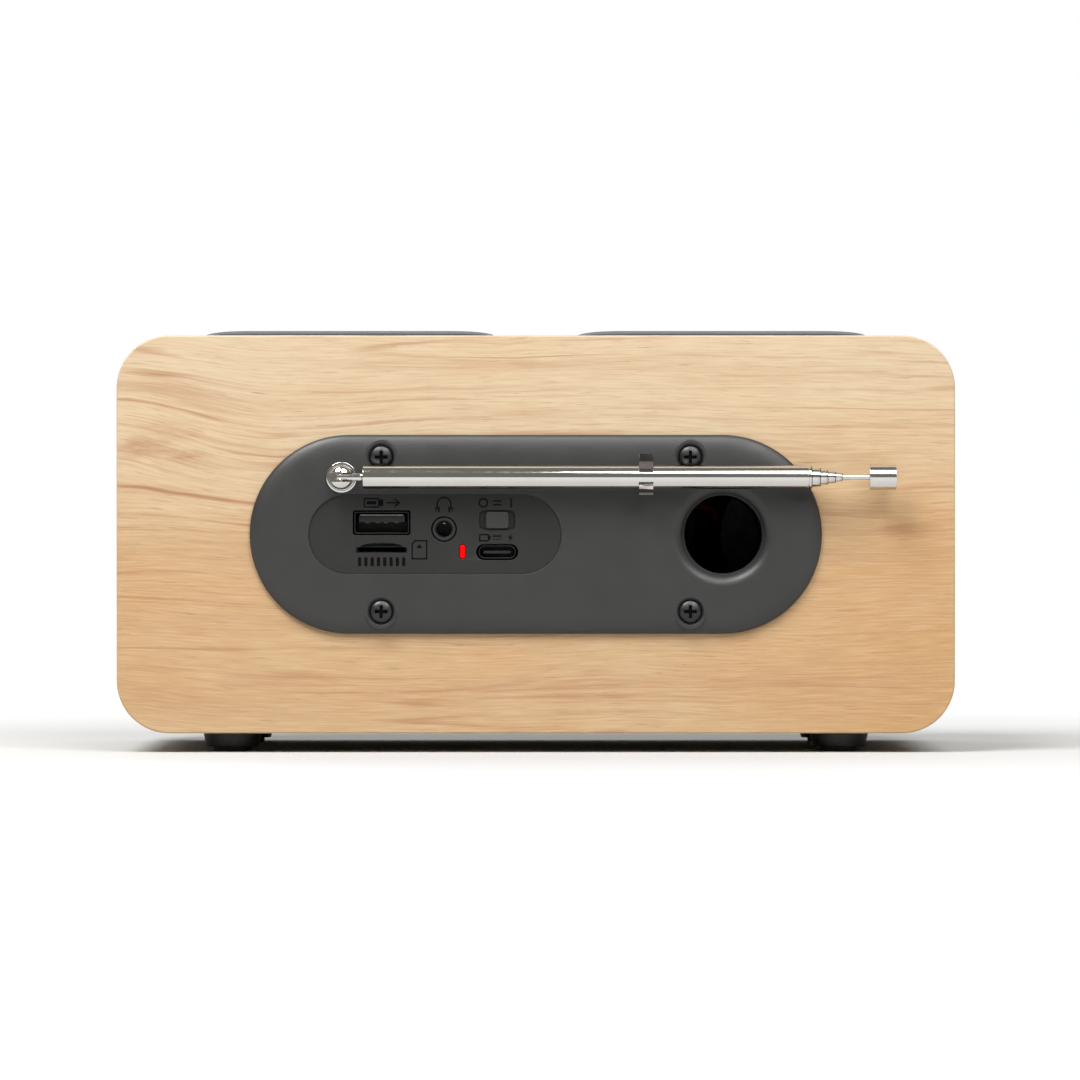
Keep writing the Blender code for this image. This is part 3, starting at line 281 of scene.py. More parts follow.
def carved(mesh, *steps):
    """A mesh after Booleans, given as (operation, other mesh)."""
    target = bpy.data.objects.new("target", mesh)
    bpy.context.scene.collection.objects.link(target)
    others = []
    for operation, other in steps:
        cutter = bpy.data.objects.new("cutter", other)
        bpy.context.scene.collection.objects.link(cutter)
        others.append(cutter)
        modifier = target.modifiers.new(operation.lower(), "BOOLEAN")
        modifier.operation = operation
        modifier.solver = "EXACT"
        modifier.object = cutter
    graph = bpy.context.evaluated_depsgraph_get()
    result = bpy.data.meshes.new_from_object(target.evaluated_get(graph))
    for used in (target, *others):
        bpy.data.objects.remove(used)
    return result


def piece(name, mesh, material, body="case", place=REAR, replaces=(), slot=None, sharp=38, weighted=True):
    """A finished object of the visual model that moves with a CAD body."""
    slot = slot or SLOTS[material]
    mesh = placed(mesh, place)
    mesh.name = name
    mesh.materials.clear()
    mesh.materials.append(material)
    mesh.shade_smooth()
    mesh.set_sharp_from_angle(angle=math.radians(sharp))
    made = bpy.data.objects.new(name, mesh)
    bpy.context.scene.collection.objects.link(made)
    if weighted:
        evener = made.modifiers.new("even_normals", "WEIGHTED_NORMAL")
        evener.mode = "FACE_AREA"
        evener.weight = FACE_WEIGHT
        evener.keep_sharp = True
    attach(made, body)
    if replaces:
        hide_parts(*([replaces] if isinstance(replaces, str) else replaces))
    return made


# ---------------------------------------------------------------- materials


class Surface:
    """A Principled material that is built up node by node."""

    def __init__(self, name, colour, roughness, metallic=0.0, **constants):
        self.made = bpy.data.materials.new(name)
        self.made.use_nodes = True
        self.tree = self.made.node_tree
        self.shader = self.tree.nodes["Principled BSDF"]
        self.shader.inputs["Base Color"].default_value = (*colour, 1)
        self.shader.inputs["Roughness"].default_value = roughness
        self.shader.inputs["Metallic"].default_value = metallic
        for socket, value in constants.items():
            self.shader.inputs[socket.replace("_", " ")].default_value = value
        self.made.diffuse_color = (*colour, 1)
        self.where = self.node("ShaderNodeTexCoord").outputs["Object"]

    def node(self, kind, **settings):
        made = self.tree.nodes.new(kind)
        for key, value in settings.items():
            setattr(made, key, value)
        return made

    def link(self, source, target):
        self.tree.links.new(source, target)

    def stretch(self, scale, where=None):
        """Coordinates times a scale for each axis, in features per metre."""
        mapping = self.node("ShaderNodeMapping")
        mapping.inputs["Scale"].default_value = scale
        self.link(where or self.where, mapping.inputs["Vector"])
        return mapping.outputs["Vector"]

    def noise(self, scale, detail=3.0, rough=0.55, where=None, distortion=0.0):
        made = self.node("ShaderNodeTexNoise")
        made.inputs["Scale"].default_value = 1.0
        made.inputs["Detail"].default_value = detail
        made.inputs["Roughness"].default_value = rough
        made.inputs["Distortion"].default_value = distortion
        scale = scale if hasattr(scale, "__len__") else (scale,) * 3
        self.link(self.stretch(scale, where), made.inputs["Vector"])
        return made.outputs["Fac"]

    def spread(self, value, low, high, to_low=0.0, to_high=1.0, smooth=False):
        """A value between low and high, mapped to to_low and to_high."""
        made = self.node("ShaderNodeMapRange", interpolation_type="SMOOTHSTEP" if smooth else "LINEAR")
        self.link(value, made.inputs["Value"])
        for socket, number in zip(("From Min", "From Max", "To Min", "To Max"), (low, high, to_low, to_high)):
            made.inputs[socket].default_value = number
        return made.outputs["Result"]

    def math(self, operation, first, second=None):
        made = self.node("ShaderNodeMath", operation=operation)
        for socket, value in zip(made.inputs, (first, second)):
            if value is None:
                continue
            if isinstance(value, (int, float)):
                socket.default_value = value
            else:
                self.link(value, socket)
        return made.outputs["Value"]

    def times(self, first, second):
        return self.math("MULTIPLY", first, second)

    def plus(self, first, second):
        return self.math("ADD", first, second)

    def mix(self, amount, first, second, blend="MIX"):
        """Two colours, each a triple or a socket, mixed by a value."""
        made = self.node("ShaderNodeMix", data_type="RGBA", blend_type=blend)
        if isinstance(amount, (int, float)):
            made.inputs["Factor"].default_value = amount
        else:
            self.link(amount, made.inputs["Factor"])
        for socket, value in ((made.inputs[6], first), (made.inputs[7], second)):
            if hasattr(value, "__len__"):
                socket.default_value = (*value, 1)
            else:
                self.link(value, socket)
        return made.outputs[2]

    def paint(self, colour):
        self.link(colour, self.shader.inputs["Base Color"])

    def gloss(self, value):
        self.link(value, self.shader.inputs["Roughness"])

    def bump(self, height, distance, strength=1.0):
        made = self.node("ShaderNodeBump")
        made.inputs["Distance"].default_value = distance
        made.inputs["Strength"].default_value = strength
        self.link(height, made.inputs["Height"])
        if self.shader.inputs["Normal"].links:
            self.link(self.shader.inputs["Normal"].links[0].from_socket, made.inputs["Normal"])
        self.link(made.outputs["Normal"], self.shader.inputs["Normal"])


def darker(colour, by):
    return tuple(c * by for c in colour)


def moulded(name, colour, roughness, grain=5200, depth=0.02 * MM, **constants):
    """Moulded plastic: a fine spark-eroded grain, with slight mottling and handling marks."""
    s = Surface(name, colour, roughness, **constants)
    fine = s.noise(grain, 2.0)
    broad = s.noise(45, 3.0)
    s.paint(s.mix(s.spread(broad, 0.35, 0.65), darker(colour, 0.93), darker(colour, 1.06)))
    s.gloss(s.spread(s.noise(160, 4.0), 0.3, 0.7, roughness - 0.04, roughness + 0.05))
    s.bump(fine, depth)
    return s.made


PALE, HONEY, SILVER = (0.485, 0.375, 0.243), (0.415, 0.245, 0.104), (0.63, 0.49, 0.335)
RUSSET, DARK, RUST = (0.30, 0.142, 0.064), (0.19, 0.10, 0.048), (0.27, 0.108, 0.042)
GROWTH_LINES = (
    # scale, half width, scale of the fading, strength
    ((2.6, 62, 1), 0.011, (9, 60, 1), 0.78),
    ((3.4, 118, 1), 0.022, (14, 90, 1), 0.60),
    ((5.0, 260, 1), 0.045, (22, 150, 1), 0.42),
)
FLARES = (
    # middle along and across, half length and half width in millimetres, strength
    (93.5, 20.8, 9, 3.6, 0.95),
    (83.5, 18.8, 9, 3.0, 0.75),
    (88, 24.5, 16, 4.5, 0.35),
)
BOLD_LINES = (
    # height and half width in millimetres, strength
    (33.4, 0.50, 0.55),
    (24.8, 0.75, 0.80),
    (17.6, 0.60, 0.60),
    (5.8, 0.65, 0.85),
    (1.2, 0.55, 0.70),
    (-16.5, 0.45, 0.55),
    (-33.0, 0.50, 0.50),
)


def wood():
    """Light maple veneer. The grain runs along the first coordinate of the map, in metres."""
    s = Surface("maple_veneer", (0.50, 0.345, 0.20), 0.52)
    uv = s.node("ShaderNodeUVMap", uv_map="grain").outputs["UV"]
    split = s.node("ShaderNodeSeparateXYZ")
    s.link(uv, split.inputs["Vector"])
    along, across = split.outputs["X"], split.outputs["Y"]

    def band(value, middle, half):
        """One at the middle, falling smoothly to nothing at half to each side."""
        away = s.math("ABSOLUTE", s.math("SUBTRACT", value, middle))
        return s.spread(away, 0.0, half, 1.0, 0.0, smooth=True)

    # The figure of the back: lines that come in high at one end, dip, and rise a little towards the middle
    near_end = s.spread(along, 60 * MM, 101 * MM, smooth=True)
    towards_middle = s.spread(along, 62 * MM, 20 * MM, smooth=True)
    at_height = s.plus(0.3, s.times(band(across, 25 * MM, 26 * MM), 0.7))
    dip = s.times(s.times(near_end, at_height), -8 * MM)
    rise = s.times(s.times(towards_middle, band(across, 24 * MM, 20 * MM)), -2.6 * MM)
    wander = s.times(s.math("SUBTRACT", s.noise((7, 16, 1), 2.0, where=uv), 0.5), 9 * MM)
    ripple = s.times(s.math("SUBTRACT", s.noise((38, 150, 1), 2.0, where=uv), 0.5), 1.3 * MM)
    bent = s.plus(s.plus(across, s.plus(dip, rise)), s.plus(wander, ripple))
    joined = s.node("ShaderNodeCombineXYZ")
    s.link(along, joined.inputs["X"])
    s.link(bent, joined.inputs["Y"])
    grain = joined.outputs["Vector"]

    def growth_lines(scale, width, fade):
        """Thin unbroken lines that follow the grain and come and go."""
        contour = band(s.noise(scale, 1.0, where=grain), 0.5, width)
        strength = s.spread(s.noise(fade, 2.0, where=grain), 0.46, 0.64, smooth=True)
        return s.times(contour, strength)

    # Painted shade: the back is painted darker and warmer towards the bottom and towards its lower right end;
    # the cloudy part is random tone.
    low = s.spread(across, 26 * MM, -12 * MM, smooth=True)
    right_end = s.times(s.spread(along, -40 * MM, -95 * MM), s.spread(across, 40 * MM, 10 * MM))
    cloudy = s.spread(s.noise((13, 34, 1), 3.0, 0.6, where=grain), 0.30, 0.70, -0.22, 0.22)
    painted_shade_places = s.plus(s.times(low, 0.70), s.times(right_end, 0.35))
    painted_shade_and_clouds = s.plus(painted_shade_places, cloudy)
    colour = s.mix(s.spread(painted_shade_and_clouds, -0.1, 1.0), PALE, HONEY)
    bands = s.spread(s.noise((4, 95, 1), 3.0, 0.6, where=grain), 0.45, 0.72, smooth=True)
    colour = s.mix(s.times(bands, 0.28), colour, RUSSET)
    for scale, width, fade, amount in GROWTH_LINES:
        colour = s.mix(s.times(growth_lines(scale, width, fade), amount), colour, RUSSET)
    for *sizes, amount in FLARES:
        middle_along, middle_across, half_along, half_across = mm(*sizes)
        lengthways = band(along, middle_along, half_along)
        flare = s.times(lengthways, band(across, middle_across, half_across))
        broken = s.spread(s.noise((90, 420, 1), 3.0, 0.6, where=uv), 0.35, 0.62, 0.15, 1.0)
        colour = s.mix(s.times(s.times(flare, broken), amount), colour, RUST)
    strongest = s.spread(along, 5 * MM, 55 * MM, 0.30, 1.0, smooth=True)
    for height, half, amount in BOLD_LINES:
        broken = s.spread(s.noise((26, 240, 1), 3.0, 0.6, where=grain), 0.34, 0.60, 0.12, 1.0, smooth=True)
        line = s.times(s.times(band(bent, height * MM, half * MM), broken), strongest)
        colour = s.mix(s.times(line, amount), colour, RUST)
    fibres = s.noise((95, 2300, 1), 3.0, 0.62, where=grain)
    colour = s.mix(s.spread(fibres, 0.48, 0.76, 0.0, 0.38), colour, RUSSET)
    colour = s.mix(s.spread(fibres, 0.50, 0.28, 0.0, 0.22), colour, SILVER)
    flecks = s.spread(s.noise((130, 2600, 1), 2.0, 0.5, where=grain), 0.64, 0.74)
    colour = s.mix(s.times(flecks, 0.50), colour, DARK)
    s.paint(colour)
    s.gloss(s.spread(fibres, 0.3, 0.7, 0.46, 0.60))
    s.bump(fibres, 0.025 * MM)
    return s.made


def chrome():
    """Bright chrome plate with faint draw lines and handling marks."""
    s = Surface("chrome_plate", (0.64, 0.628, 0.605), 0.06, 1.0)
    marks = s.noise((300, 1500, 1500), 3.0)
    s.gloss(s.spread(marks, 0.35, 0.75, 0.04, 0.10))
    s.paint(s.mix(s.spread(s.noise(80), 0.3, 0.7), (0.625, 0.613, 0.59), (0.655, 0.643, 0.62)))
    s.bump(s.noise((120, 5000, 5000), 2.0), 0.0006 * MM)
    return s.made


def metal(name, colour, roughness, scale=(200, 3000, 3000), metallic=1.0):
    """Metal with a drawn or pressed finish, darker where it has been handled."""
    s = Surface(name, colour, roughness, metallic)
    s.paint(s.mix(s.spread(s.noise(260, 4.0), 0.3, 0.7), darker(colour, 0.8), darker(colour, 1.15)))
    s.gloss(s.spread(s.noise(scale, 3.0), 0.3, 0.7, roughness * 0.75, roughness * 1.4))
    s.bump(s.noise(scale, 2.0), 0.004 * MM)
    return s.made


def cloth():
    """Woven grille cloth of heathered yarn. The weave follows the front's two axes."""
    s = Surface("woven_cloth", (0.1, 0.1, 0.105), 0.92, Sheen_Weight=0.25, Sheen_Roughness=0.5)
    pitch = 0.62 * MM
    split = s.node("ShaderNodeSeparateXYZ")
    s.link(s.stretch((math.pi / pitch,) * 3), split.inputs["Vector"])
    warp = s.math("SINE", split.outputs["X"])
    weft = s.math("SINE", split.outputs["Z"])
    over = s.times(warp, weft)
    crowns = []
    for axis, under, top in (("X", -0.3, 0.3), ("Z", 0.3, -0.3)):
        arch = s.math("ABSOLUTE", s.math("COSINE", split.outputs[axis]))
        crowns.append(s.times(arch, s.spread(over, under, top)))
    height = s.math("MAXIMUM", *crowns)
    heather = s.noise((900, 900, 240), 2.0, 0.7)
    yarn = s.mix(s.spread(heather, 0.35, 0.65), (0.055, 0.056, 0.06), (0.20, 0.20, 0.205))
    # Painted shade: the low places of the weave, between the yarns, are painted near black.
    s.paint(s.mix(s.spread(height, 0.15, 0.8), (0.012, 0.012, 0.013), yarn))
    s.bump(height, 0.22 * MM)
    s.bump(s.noise(9000, 2.0), 0.03 * MM)
    return s.made


def smoked():
    """Polished smoked acrylic with the faintest wipe marks."""
    s = Surface("smoked_acrylic", (0.10, 0.10, 0.11), 0.05, IOR=1.49, Transmission_Weight=0.92)
    s.gloss(s.spread(s.noise((60, 60, 200), 4.0), 0.4, 0.8, 0.035, 0.10))
    s.paint(s.mix(s.spread(s.noise(30), 0.3, 0.7), (0.085, 0.085, 0.095), (0.115, 0.115, 0.125)))
    return s.made


def glowing(name, colour, strength, core):
    """A lit plastic piece, brightest in streaks where its lamp sits."""
    lamp = {"Emission_Color": (*core, 1), "Emission_Strength": strength}
    s = Surface(name, colour, 0.35, Specular_IOR_Level=0.1, **lamp)
    s.paint(s.mix(s.spread(s.noise(900), 0.3, 0.7), darker(colour, 0.8), colour))
    s.gloss(s.spread(s.noise(2000), 0.3, 0.7, 0.28, 0.42))
    return s.made


def circuit():
    """A solder-masked board with faint copper runs under the mask."""
    s = Surface("solder_mask", (0.02, 0.11, 0.05), 0.38)
    brick = s.node("ShaderNodeTexBrick")
    brick.inputs["Scale"].default_value = 260
    brick.inputs["Mortar Size"].default_value = 0.03
    s.link(s.where, brick.inputs["Vector"])
    brick.inputs["Color1"].default_value = (0.016, 0.10, 0.045, 1)
    brick.inputs["Color2"].default_value = (0.02, 0.12, 0.055, 1)
    brick.inputs["Mortar"].default_value = (0.05, 0.20, 0.08, 1)
    s.paint(brick.outputs["Color"])
    s.gloss(s.spread(s.noise(400), 0.3, 0.7, 0.3, 0.45))
    return s.made


def studio_floor():
    """A pale floor that glows more and more with distance, so that it has no horizon."""
    s = Surface("studio_floor", (0.6, 0.6, 0.6), 0.8, Emission_Color=(1, 1, 1, 1))
    length = s.node("ShaderNodeVectorMath", operation="LENGTH")
    s.link(s.where, length.inputs[0])
    far = s.spread(length.outputs["Value"], 0.12, 0.42, smooth=True)
    s.paint(s.mix(far, (0.50, 0.50, 0.50), (0.0, 0.0, 0.0)))
    s.link(far, s.shader.inputs["Emission Strength"])
    return s.made


WOOD = wood()
GREY = moulded("grey_abs", (0.026, 0.0258, 0.0254), 0.38, Specular_IOR_Level=0.42)
INSERT = moulded("charcoal_abs", (0.0185, 0.0183, 0.0178), 0.42, Specular_IOR_Level=0.28)
BLACK = moulded("black_abs", (0.006, 0.006, 0.006), 0.46)
# Black print, also used for the painted shade in the screw recesses and in the aerial tubes' mouths.
INK_AND_SHADE = moulded("ink_and_painted_shade", (0.002, 0.002, 0.002), 0.62, 9000, 0.004 * MM, Specular_IOR_Level=0.06)
SCREEN = moulded("display_face", (0.004, 0.004, 0.0045), 0.45, 300, 0.0005 * MM, Specular_IOR_Level=0.1)
PALE_INK = moulded("pale_ink", (0.55, 0.55, 0.54), 0.55, 9000, 0.004 * MM)
RUBBER = moulded("black_rubber", (0.016, 0.016, 0.016), 0.72, 3200, 0.05 * MM)
KEYTOP = moulded("key_rubber", (0.035, 0.035, 0.036), 0.62, 4200, 0.03 * MM)
CHROME = chrome()
SPRING = metal("spring_steel", (0.15, 0.135, 0.128), 0.16)
SCREW = metal("black_screw_steel", (0.055, 0.055, 0.056), 0.38, (2500, 2500, 2500))
COATED = metal("coated_steel", (0.02, 0.02, 0.02), 0.55, (900, 900, 900), 0.0)
TIN = metal("tinned_steel", (0.50, 0.50, 0.49), 0.32)
DARK_TIN = metal("blackened_shell", (0.03, 0.03, 0.031), 0.42)
GOLD = metal("contact_gold", (0.42, 0.30, 0.12), 0.3)
CLOTH = cloth()
SMOKED = smoked()
RED = glowing("red_light", (0.30, 0.0, 0.0), 0.72, (1.0, 0.0, 0.0))
DIGIT = glowing("white_digit", (0.9, 0.92, 0.95), 6.0, (0.85, 0.92, 1.0))
CIRCUIT = circuit()
PAPER = moulded("pressed_paper", (0.030, 0.030, 0.031), 0.75, 2600, 0.08 * MM)
SLEEVE = moulded("cell_sleeve", (0.04, 0.13, 0.33), 0.32)
VINYL = moulded("lead_vinyl", (0.28, 0.02, 0.02), 0.42)

SLOT_MATERIALS = {
    "wood_shell": (WOOD,),
    "grey_plastic": (GREY,),
    "dark_plastic": (INSERT,),
    "black_plastic": (BLACK, INK_AND_SHADE, SCREEN),
    "black_rubber": (RUBBER, KEYTOP, PALE_INK),
    "chrome": (CHROME,),
    "black_steel": (SPRING, SCREW),
    "tinned_steel": (TIN, DARK_TIN, GOLD),
    "grille_cloth": (CLOTH,),
    "smoked_lens": (SMOKED, DIGIT),
    "red_light": (RED,),
}
SLOTS = {material: slot for slot, materials in SLOT_MATERIALS.items() for material in materials}

# ---------------------------------------------------------------- case

CASE_R, WALL, CAVITY_R = mm(12.6, 8, 5)
REAR_EDGE, FRONT_EDGE, MOUTH_LIP = mm(0.4, 0.8, 0.9)
FLAT_GRAIN, FACE_SHIFT, WRAP_SHIFT = 0.72, 0.31, (0.9, 0.55)


def wrap_length(x, z):
    """How far round the case's outline a point is from the middle of the top, from -half to +half of it."""
    half_w, half_h = CASE_W / 2 - CASE_R, CASE_H / 2 - CASE_R
    side, x = (1 if x >= 0 else -1), abs(x)
    corner = CASE_R * math.pi / 2
    if z > half_h:
        along = min(x, half_w) + CASE_R * math.atan2(max(x - half_w, 0), z - half_h)
    elif z > -half_h:
        along = half_w + corner + (half_h - z)
    else:
        along = half_w + corner + 2 * half_h + CASE_R * math.atan2(-half_h - z, max(x - half_w, 1e-9))
        along += max(half_w - x, 0)
    return side * along


def map_grain(made):
    """Lays the veneer: flat across the front and back, and wrapped round the outline everywhere else."""
    mesh = made.data
    layer = mesh.uv_layers.new(name="grain")
    for face in mesh.polygons:
        flat = abs(face.normal.y) > FLAT_GRAIN
        for index in face.loop_indices:
            co = mesh.vertices[mesh.loops[index].vertex_index].co
            x, y, z = co.x, co.y, co.z - MIDDLE_Z
            if flat:
                layer.data[index].uv = (x, z + (0.0 if face.normal.y > 0 else FACE_SHIFT))
            else:
                layer.data[index].uv = (wrap_length(x, z) + WRAP_SHIFT[0], y + WRAP_SHIFT[1])


def deck_wells():
    """What is cut out of the case's top under each key deck."""
    wells = []
    for side in ("left", "right"):
        board = local_box(f"key_board_{side}", WORLD)
        well = rounded(board.size.x + 4.2 * MM, board.size.y + 4.2 * MM, 4 * MM, 6, board.middle.xy)
        wells.append(("DIFFERENCE", slab(well, CASE_HIGH.z - 12 * MM, CASE_HIGH.z + 5 * MM, 0.1 * MM)))
    return wells


def make_case():
    plate = local_box("rear_plate")
    outer = rounded(CASE_W, CASE_H, CASE_R, 20)
    inner = rounded(CASE_W - 2 * WALL, CASE_H - 2 * WALL, CAVITY_R, 20)
    cutout = stadium(plate.size.x - 12.4 * MM, plate.size.y - 17.4 * MM, 16, plate.middle.xy)
    bm = bmesh.new()
    outside = reversed(wall_of(outer, -CASE_D, 0, REAR_EDGE, 1, 5, FRONT_EDGE))
    rings = [ring_of(bm, loop, w) for loop, w in outside]
    for angle in quarter(5):
        loop = offset(inner, -MOUTH_LIP * (1 - math.sin(angle)))
        rings.append(ring_of(bm, loop, -CASE_D + MOUTH_LIP * (1 - math.cos(angle))))
    rings.append(ring_of(bm, inner, -WALL))
    for first, second in zip(rings, rings[1:]):
        bridge(bm, first, second)
    hole = [ring_of(bm, cutout, 0), ring_of(bm, cutout, -WALL)]
    bridge(bm, *hole)
    cap(bm, (rings[0], hole[0]))
    cap(bm, (rings[-1], hole[1]))
    shell = carved(placed(to_mesh(bm), REAR), *deck_wells())
    map_grain(piece("case_shell", shell, WOOD, place=WORLD, replaces="cabinet"))


# ---------------------------------------------------------------- service plate

PLATE_BACK, PLATE_LIP, PLATE_FLAT, PLATE_SHOULDER = mm(0.2, 0.7, 2.8, 8.5)
BOSS_R, BOSS_LOW, BOSS_TOP, BOSS_OUTWARD = mm(3.75, 0.5, 2.72, 0.5)
HEAD_SEAT, HEAD_GAP = mm(1.7, 0.3)
PORT_RIM, PORT_FLARE, PORT_WALL, PORT_BACK = mm(4.3, 3.2, 1.8, -5)
PORT_SIDES = 72
SCREWS = [f"plate_screw_{row}_{side}" for row in ("upper", "lower") for side in ("left", "right")]


def port_throat():
    """The middle and radius of the bass port's straight part."""
    port = local_box("bass_port")
    return port.middle.xy, port.size.x / 2 - PORT_RIM


def port_mouth():
    """The flared wall of the port's mouth, down to the back of the plate."""
    centre, throat = port_throat()
    wall = []
    for angle in quarter(12):
        radius = throat + PORT_FLARE * (1 - math.cos(angle))
        height = PLATE_FLAT - PORT_FLARE * (1 - math.sin(angle))
        wall.append((circle(radius, PORT_SIDES, centre), max(height, PLATE_BACK)))
    return wall


def port_tube():
    """The tube behind the mouth, open right through."""
    centre, throat = port_throat()
    loops = [circle(radius, PORT_SIDES, centre) for radius in (throat + PORT_WALL, throat)]
    return lofted([[(loop, PORT_BACK), (loop, BOSS_LOW)] for loop in loops])


def screw_boss(screw):
    x, y = screw.middle.xy
    return slab(circle(BOSS_R, 64, (x, y + math.copysign(BOSS_OUTWARD, y))), BOSS_LOW, BOSS_TOP, 0.25 * MM)


def screw_seat(screw):
    """The counterbore for a screw's head, with a small chamfer at its rim."""
    above, chamfer = 9 * MM, 0.2 * MM
    bore = screw.size.x / 2 + HEAD_GAP
    rim = [(0, above), (bore + chamfer, above), (bore + chamfer, BOSS_TOP + 0.05 * MM)]
    seat = turned([*rim, (bore, BOSS_TOP - 0.15 * MM), (bore, HEAD_SEAT), (0, HEAD_SEAT)], 48)
    return placed(seat, Matrix.Translation((*screw.middle.xy, 0)))


def make_service_plate():
    size = local_box("rear_plate").size
    outline = stadium(size.x, size.y, 40)
    edge = [(outline, PLATE_BACK), (outline, PLATE_LIP - 0.25 * MM)]
    edge += shoulder(outline, PLATE_SHOULDER, PLATE_LIP, PLATE_FLAT, 16)
    panel = local_box("socket_panel")
    chamfer = 0.15 * MM
    recess = stadium(panel.size.x + 0.3 * MM, panel.size.y + 0.3 * MM, 32, panel.middle.xy)
    pocket = [(recess, PLATE_BACK), (recess, PLATE_FLAT - chamfer), (offset(recess, -chamfer), PLATE_FLAT)]
    plate = lofted([edge, pocket, port_mouth()])
    screws = [local_box(name) for name in SCREWS]
    steps = [("UNION", screw_boss(screw)) for screw in screws]
    steps += [("DIFFERENCE", screw_seat(screw)) for screw in screws]
    steps.append(("UNION", port_tube()))
    piece("service_plate", carved(plate, *steps), GREY, replaces="rear_plate")


SCREW_RISE, CROSS_DEPTH, SHANK_R, SHANK_END = mm(1.15, 0.5, 1.5, 6.5)
CROSS_BOTTOM, CROSS_TOP = mm(2.6, 0.62), mm(3.3, 0.86)
SHADE_CROSS_LONG, SHADE_CROSS_WIDE = mm(2.98, 0.76)


def screw_cross():
    """The shape of a cross recess, wider at the top."""
    arms = []
    for turn in (0, 90):
        bm = bmesh.new()
        rings = [ring_of(bm, rounded(*CROSS_BOTTOM, 0.12 * MM, 2), -CROSS_DEPTH)]
        rings.append(ring_of(bm, rounded(*CROSS_TOP, 0.15 * MM, 2), SCREW_RISE + 0.4 * MM))
        bridge(bm, *rings)
        for ring in rings:
            bm.faces.new(ring)
        arms.append(placed(to_mesh(bm), Matrix.Rotation(math.radians(turn), 4, "Z")))
    return carved(arms[0], ("UNION", arms[1]))


def screw_recess_shade():
    """A dark cross set low in the recess: painted shade in the cross recess."""
    bars = []
    for size in ((SHADE_CROSS_LONG, SHADE_CROSS_WIDE), (SHADE_CROSS_WIDE, SHADE_CROSS_LONG)):
        bars.append(slab(rounded(*size, 0.1 * MM, 2), -0.6 * MM, 0.5 * MM, 0.02 * MM))
    return carved(bars[0], ("UNION", bars[1]))


def make_screws():
    """Cross-head screws with a low dome."""
    for name in SCREWS:
        screw = local_box(name)
        radius = screw.size.x / 2
        dome = [(radius * math.sin(a), SCREW_RISE * math.cos(a)) for a in quarter(12)[:-1]]
        rim = [(radius, -0.05 * MM), (radius - 0.08 * MM, -0.12 * MM), (SHANK_R, -0.12 * MM)]
        shank = [(SHANK_R, -SHANK_END), (0, SCREW_RISE - screw.size.z)]
        head = carved(turned([*dome, *rim, *shank], 56), ("DIFFERENCE", screw_cross()))
        place = on_rear(*screw.middle.xy, screw.high.z - SCREW_RISE)
        piece(f"{name}_head", head, SCREW, place=place, replaces=name, sharp=30)
        # Each screw's near-black recess cross is painted shade.
        piece(f"{name}_well", screw_recess_shade(), INK_AND_SHADE, place=place, slot="black_steel")


# ---------------------------------------------------------------- socket panel and sockets

JACK_OUTER, JACK_BORE, JACK_DEPTH = mm(2.87, 1.78, 9)
SHELL_WALL, SHELL_EDGE = mm(0.3, 0.1)


def jack_middle():
    """The middle of the headphone socket's round collar."""
    jack = local_box("audio_jack")
    return Vector((jack.middle.x, jack.high.y - JACK_OUTER))


def arched_slot(centre, size, relief, rise):
    """The card slot's outline: a slot with a finger relief curving up from its middle."""
    (u, v), (width, height) = centre, size
    left, right, top, bottom = u - width / 2, u + width / 2, v + height / 2, v - height / 2
    angles = [math.pi * i / 16 for i in range(17)]
    arc = [(u + relief / 2 * math.cos(a), top + rise * math.sin(a)) for a in angles]
    return [(left, bottom), (right, bottom), (right, top), *arc, (left, top)]


def make_socket_panel():
    panel, light = local_box("socket_panel"), local_box("charge_light_pipe")
    usb_a, usb_c, knob, card = (
        local_box(node).middle.xy
        for node in ("usb_a_socket", "usb_c_socket", "power_switch_knob", "card_reader")
    )
    holes = [
        rounded(*mm(13.7, 5.9, 0.5), 4, usb_a),
        arched_slot((card.x, card.y - 0.1 * MM), mm(12.1, 1.3), *mm(10.2, 1.1)),
        circle(3.05 * MM, 48, jack_middle()),
        stadium(light.size.x + 0.3 * MM, light.size.y + 0.3 * MM, 8, light.middle.xy),
        rounded(*mm(8.43, 4.57, 1.1), 6, knob),
        stadium(*mm(9.95, 3.85), 12, usb_c),
    ]
    outline = stadium(panel.size.x + 0.24 * MM, panel.size.y + 0.24 * MM, 32, panel.middle.xy)
    face = slab(outline, panel.high.z - panel.size.z, panel.high.z, 0.06 * MM, holes, 0.14 * MM)
    piece("socket_insert", face, INSERT, replaces="socket_panel")


def sleeve(outer, inner, box):
    """A straight shell between two outlines, as deep as a box."""
    walls = [wall_of(outer, box.low.z, box.high.z, SHELL_EDGE)]
    return lofted([*walls, wall_of(inner, box.low.z, box.high.z, SHELL_EDGE, -1, 2)])


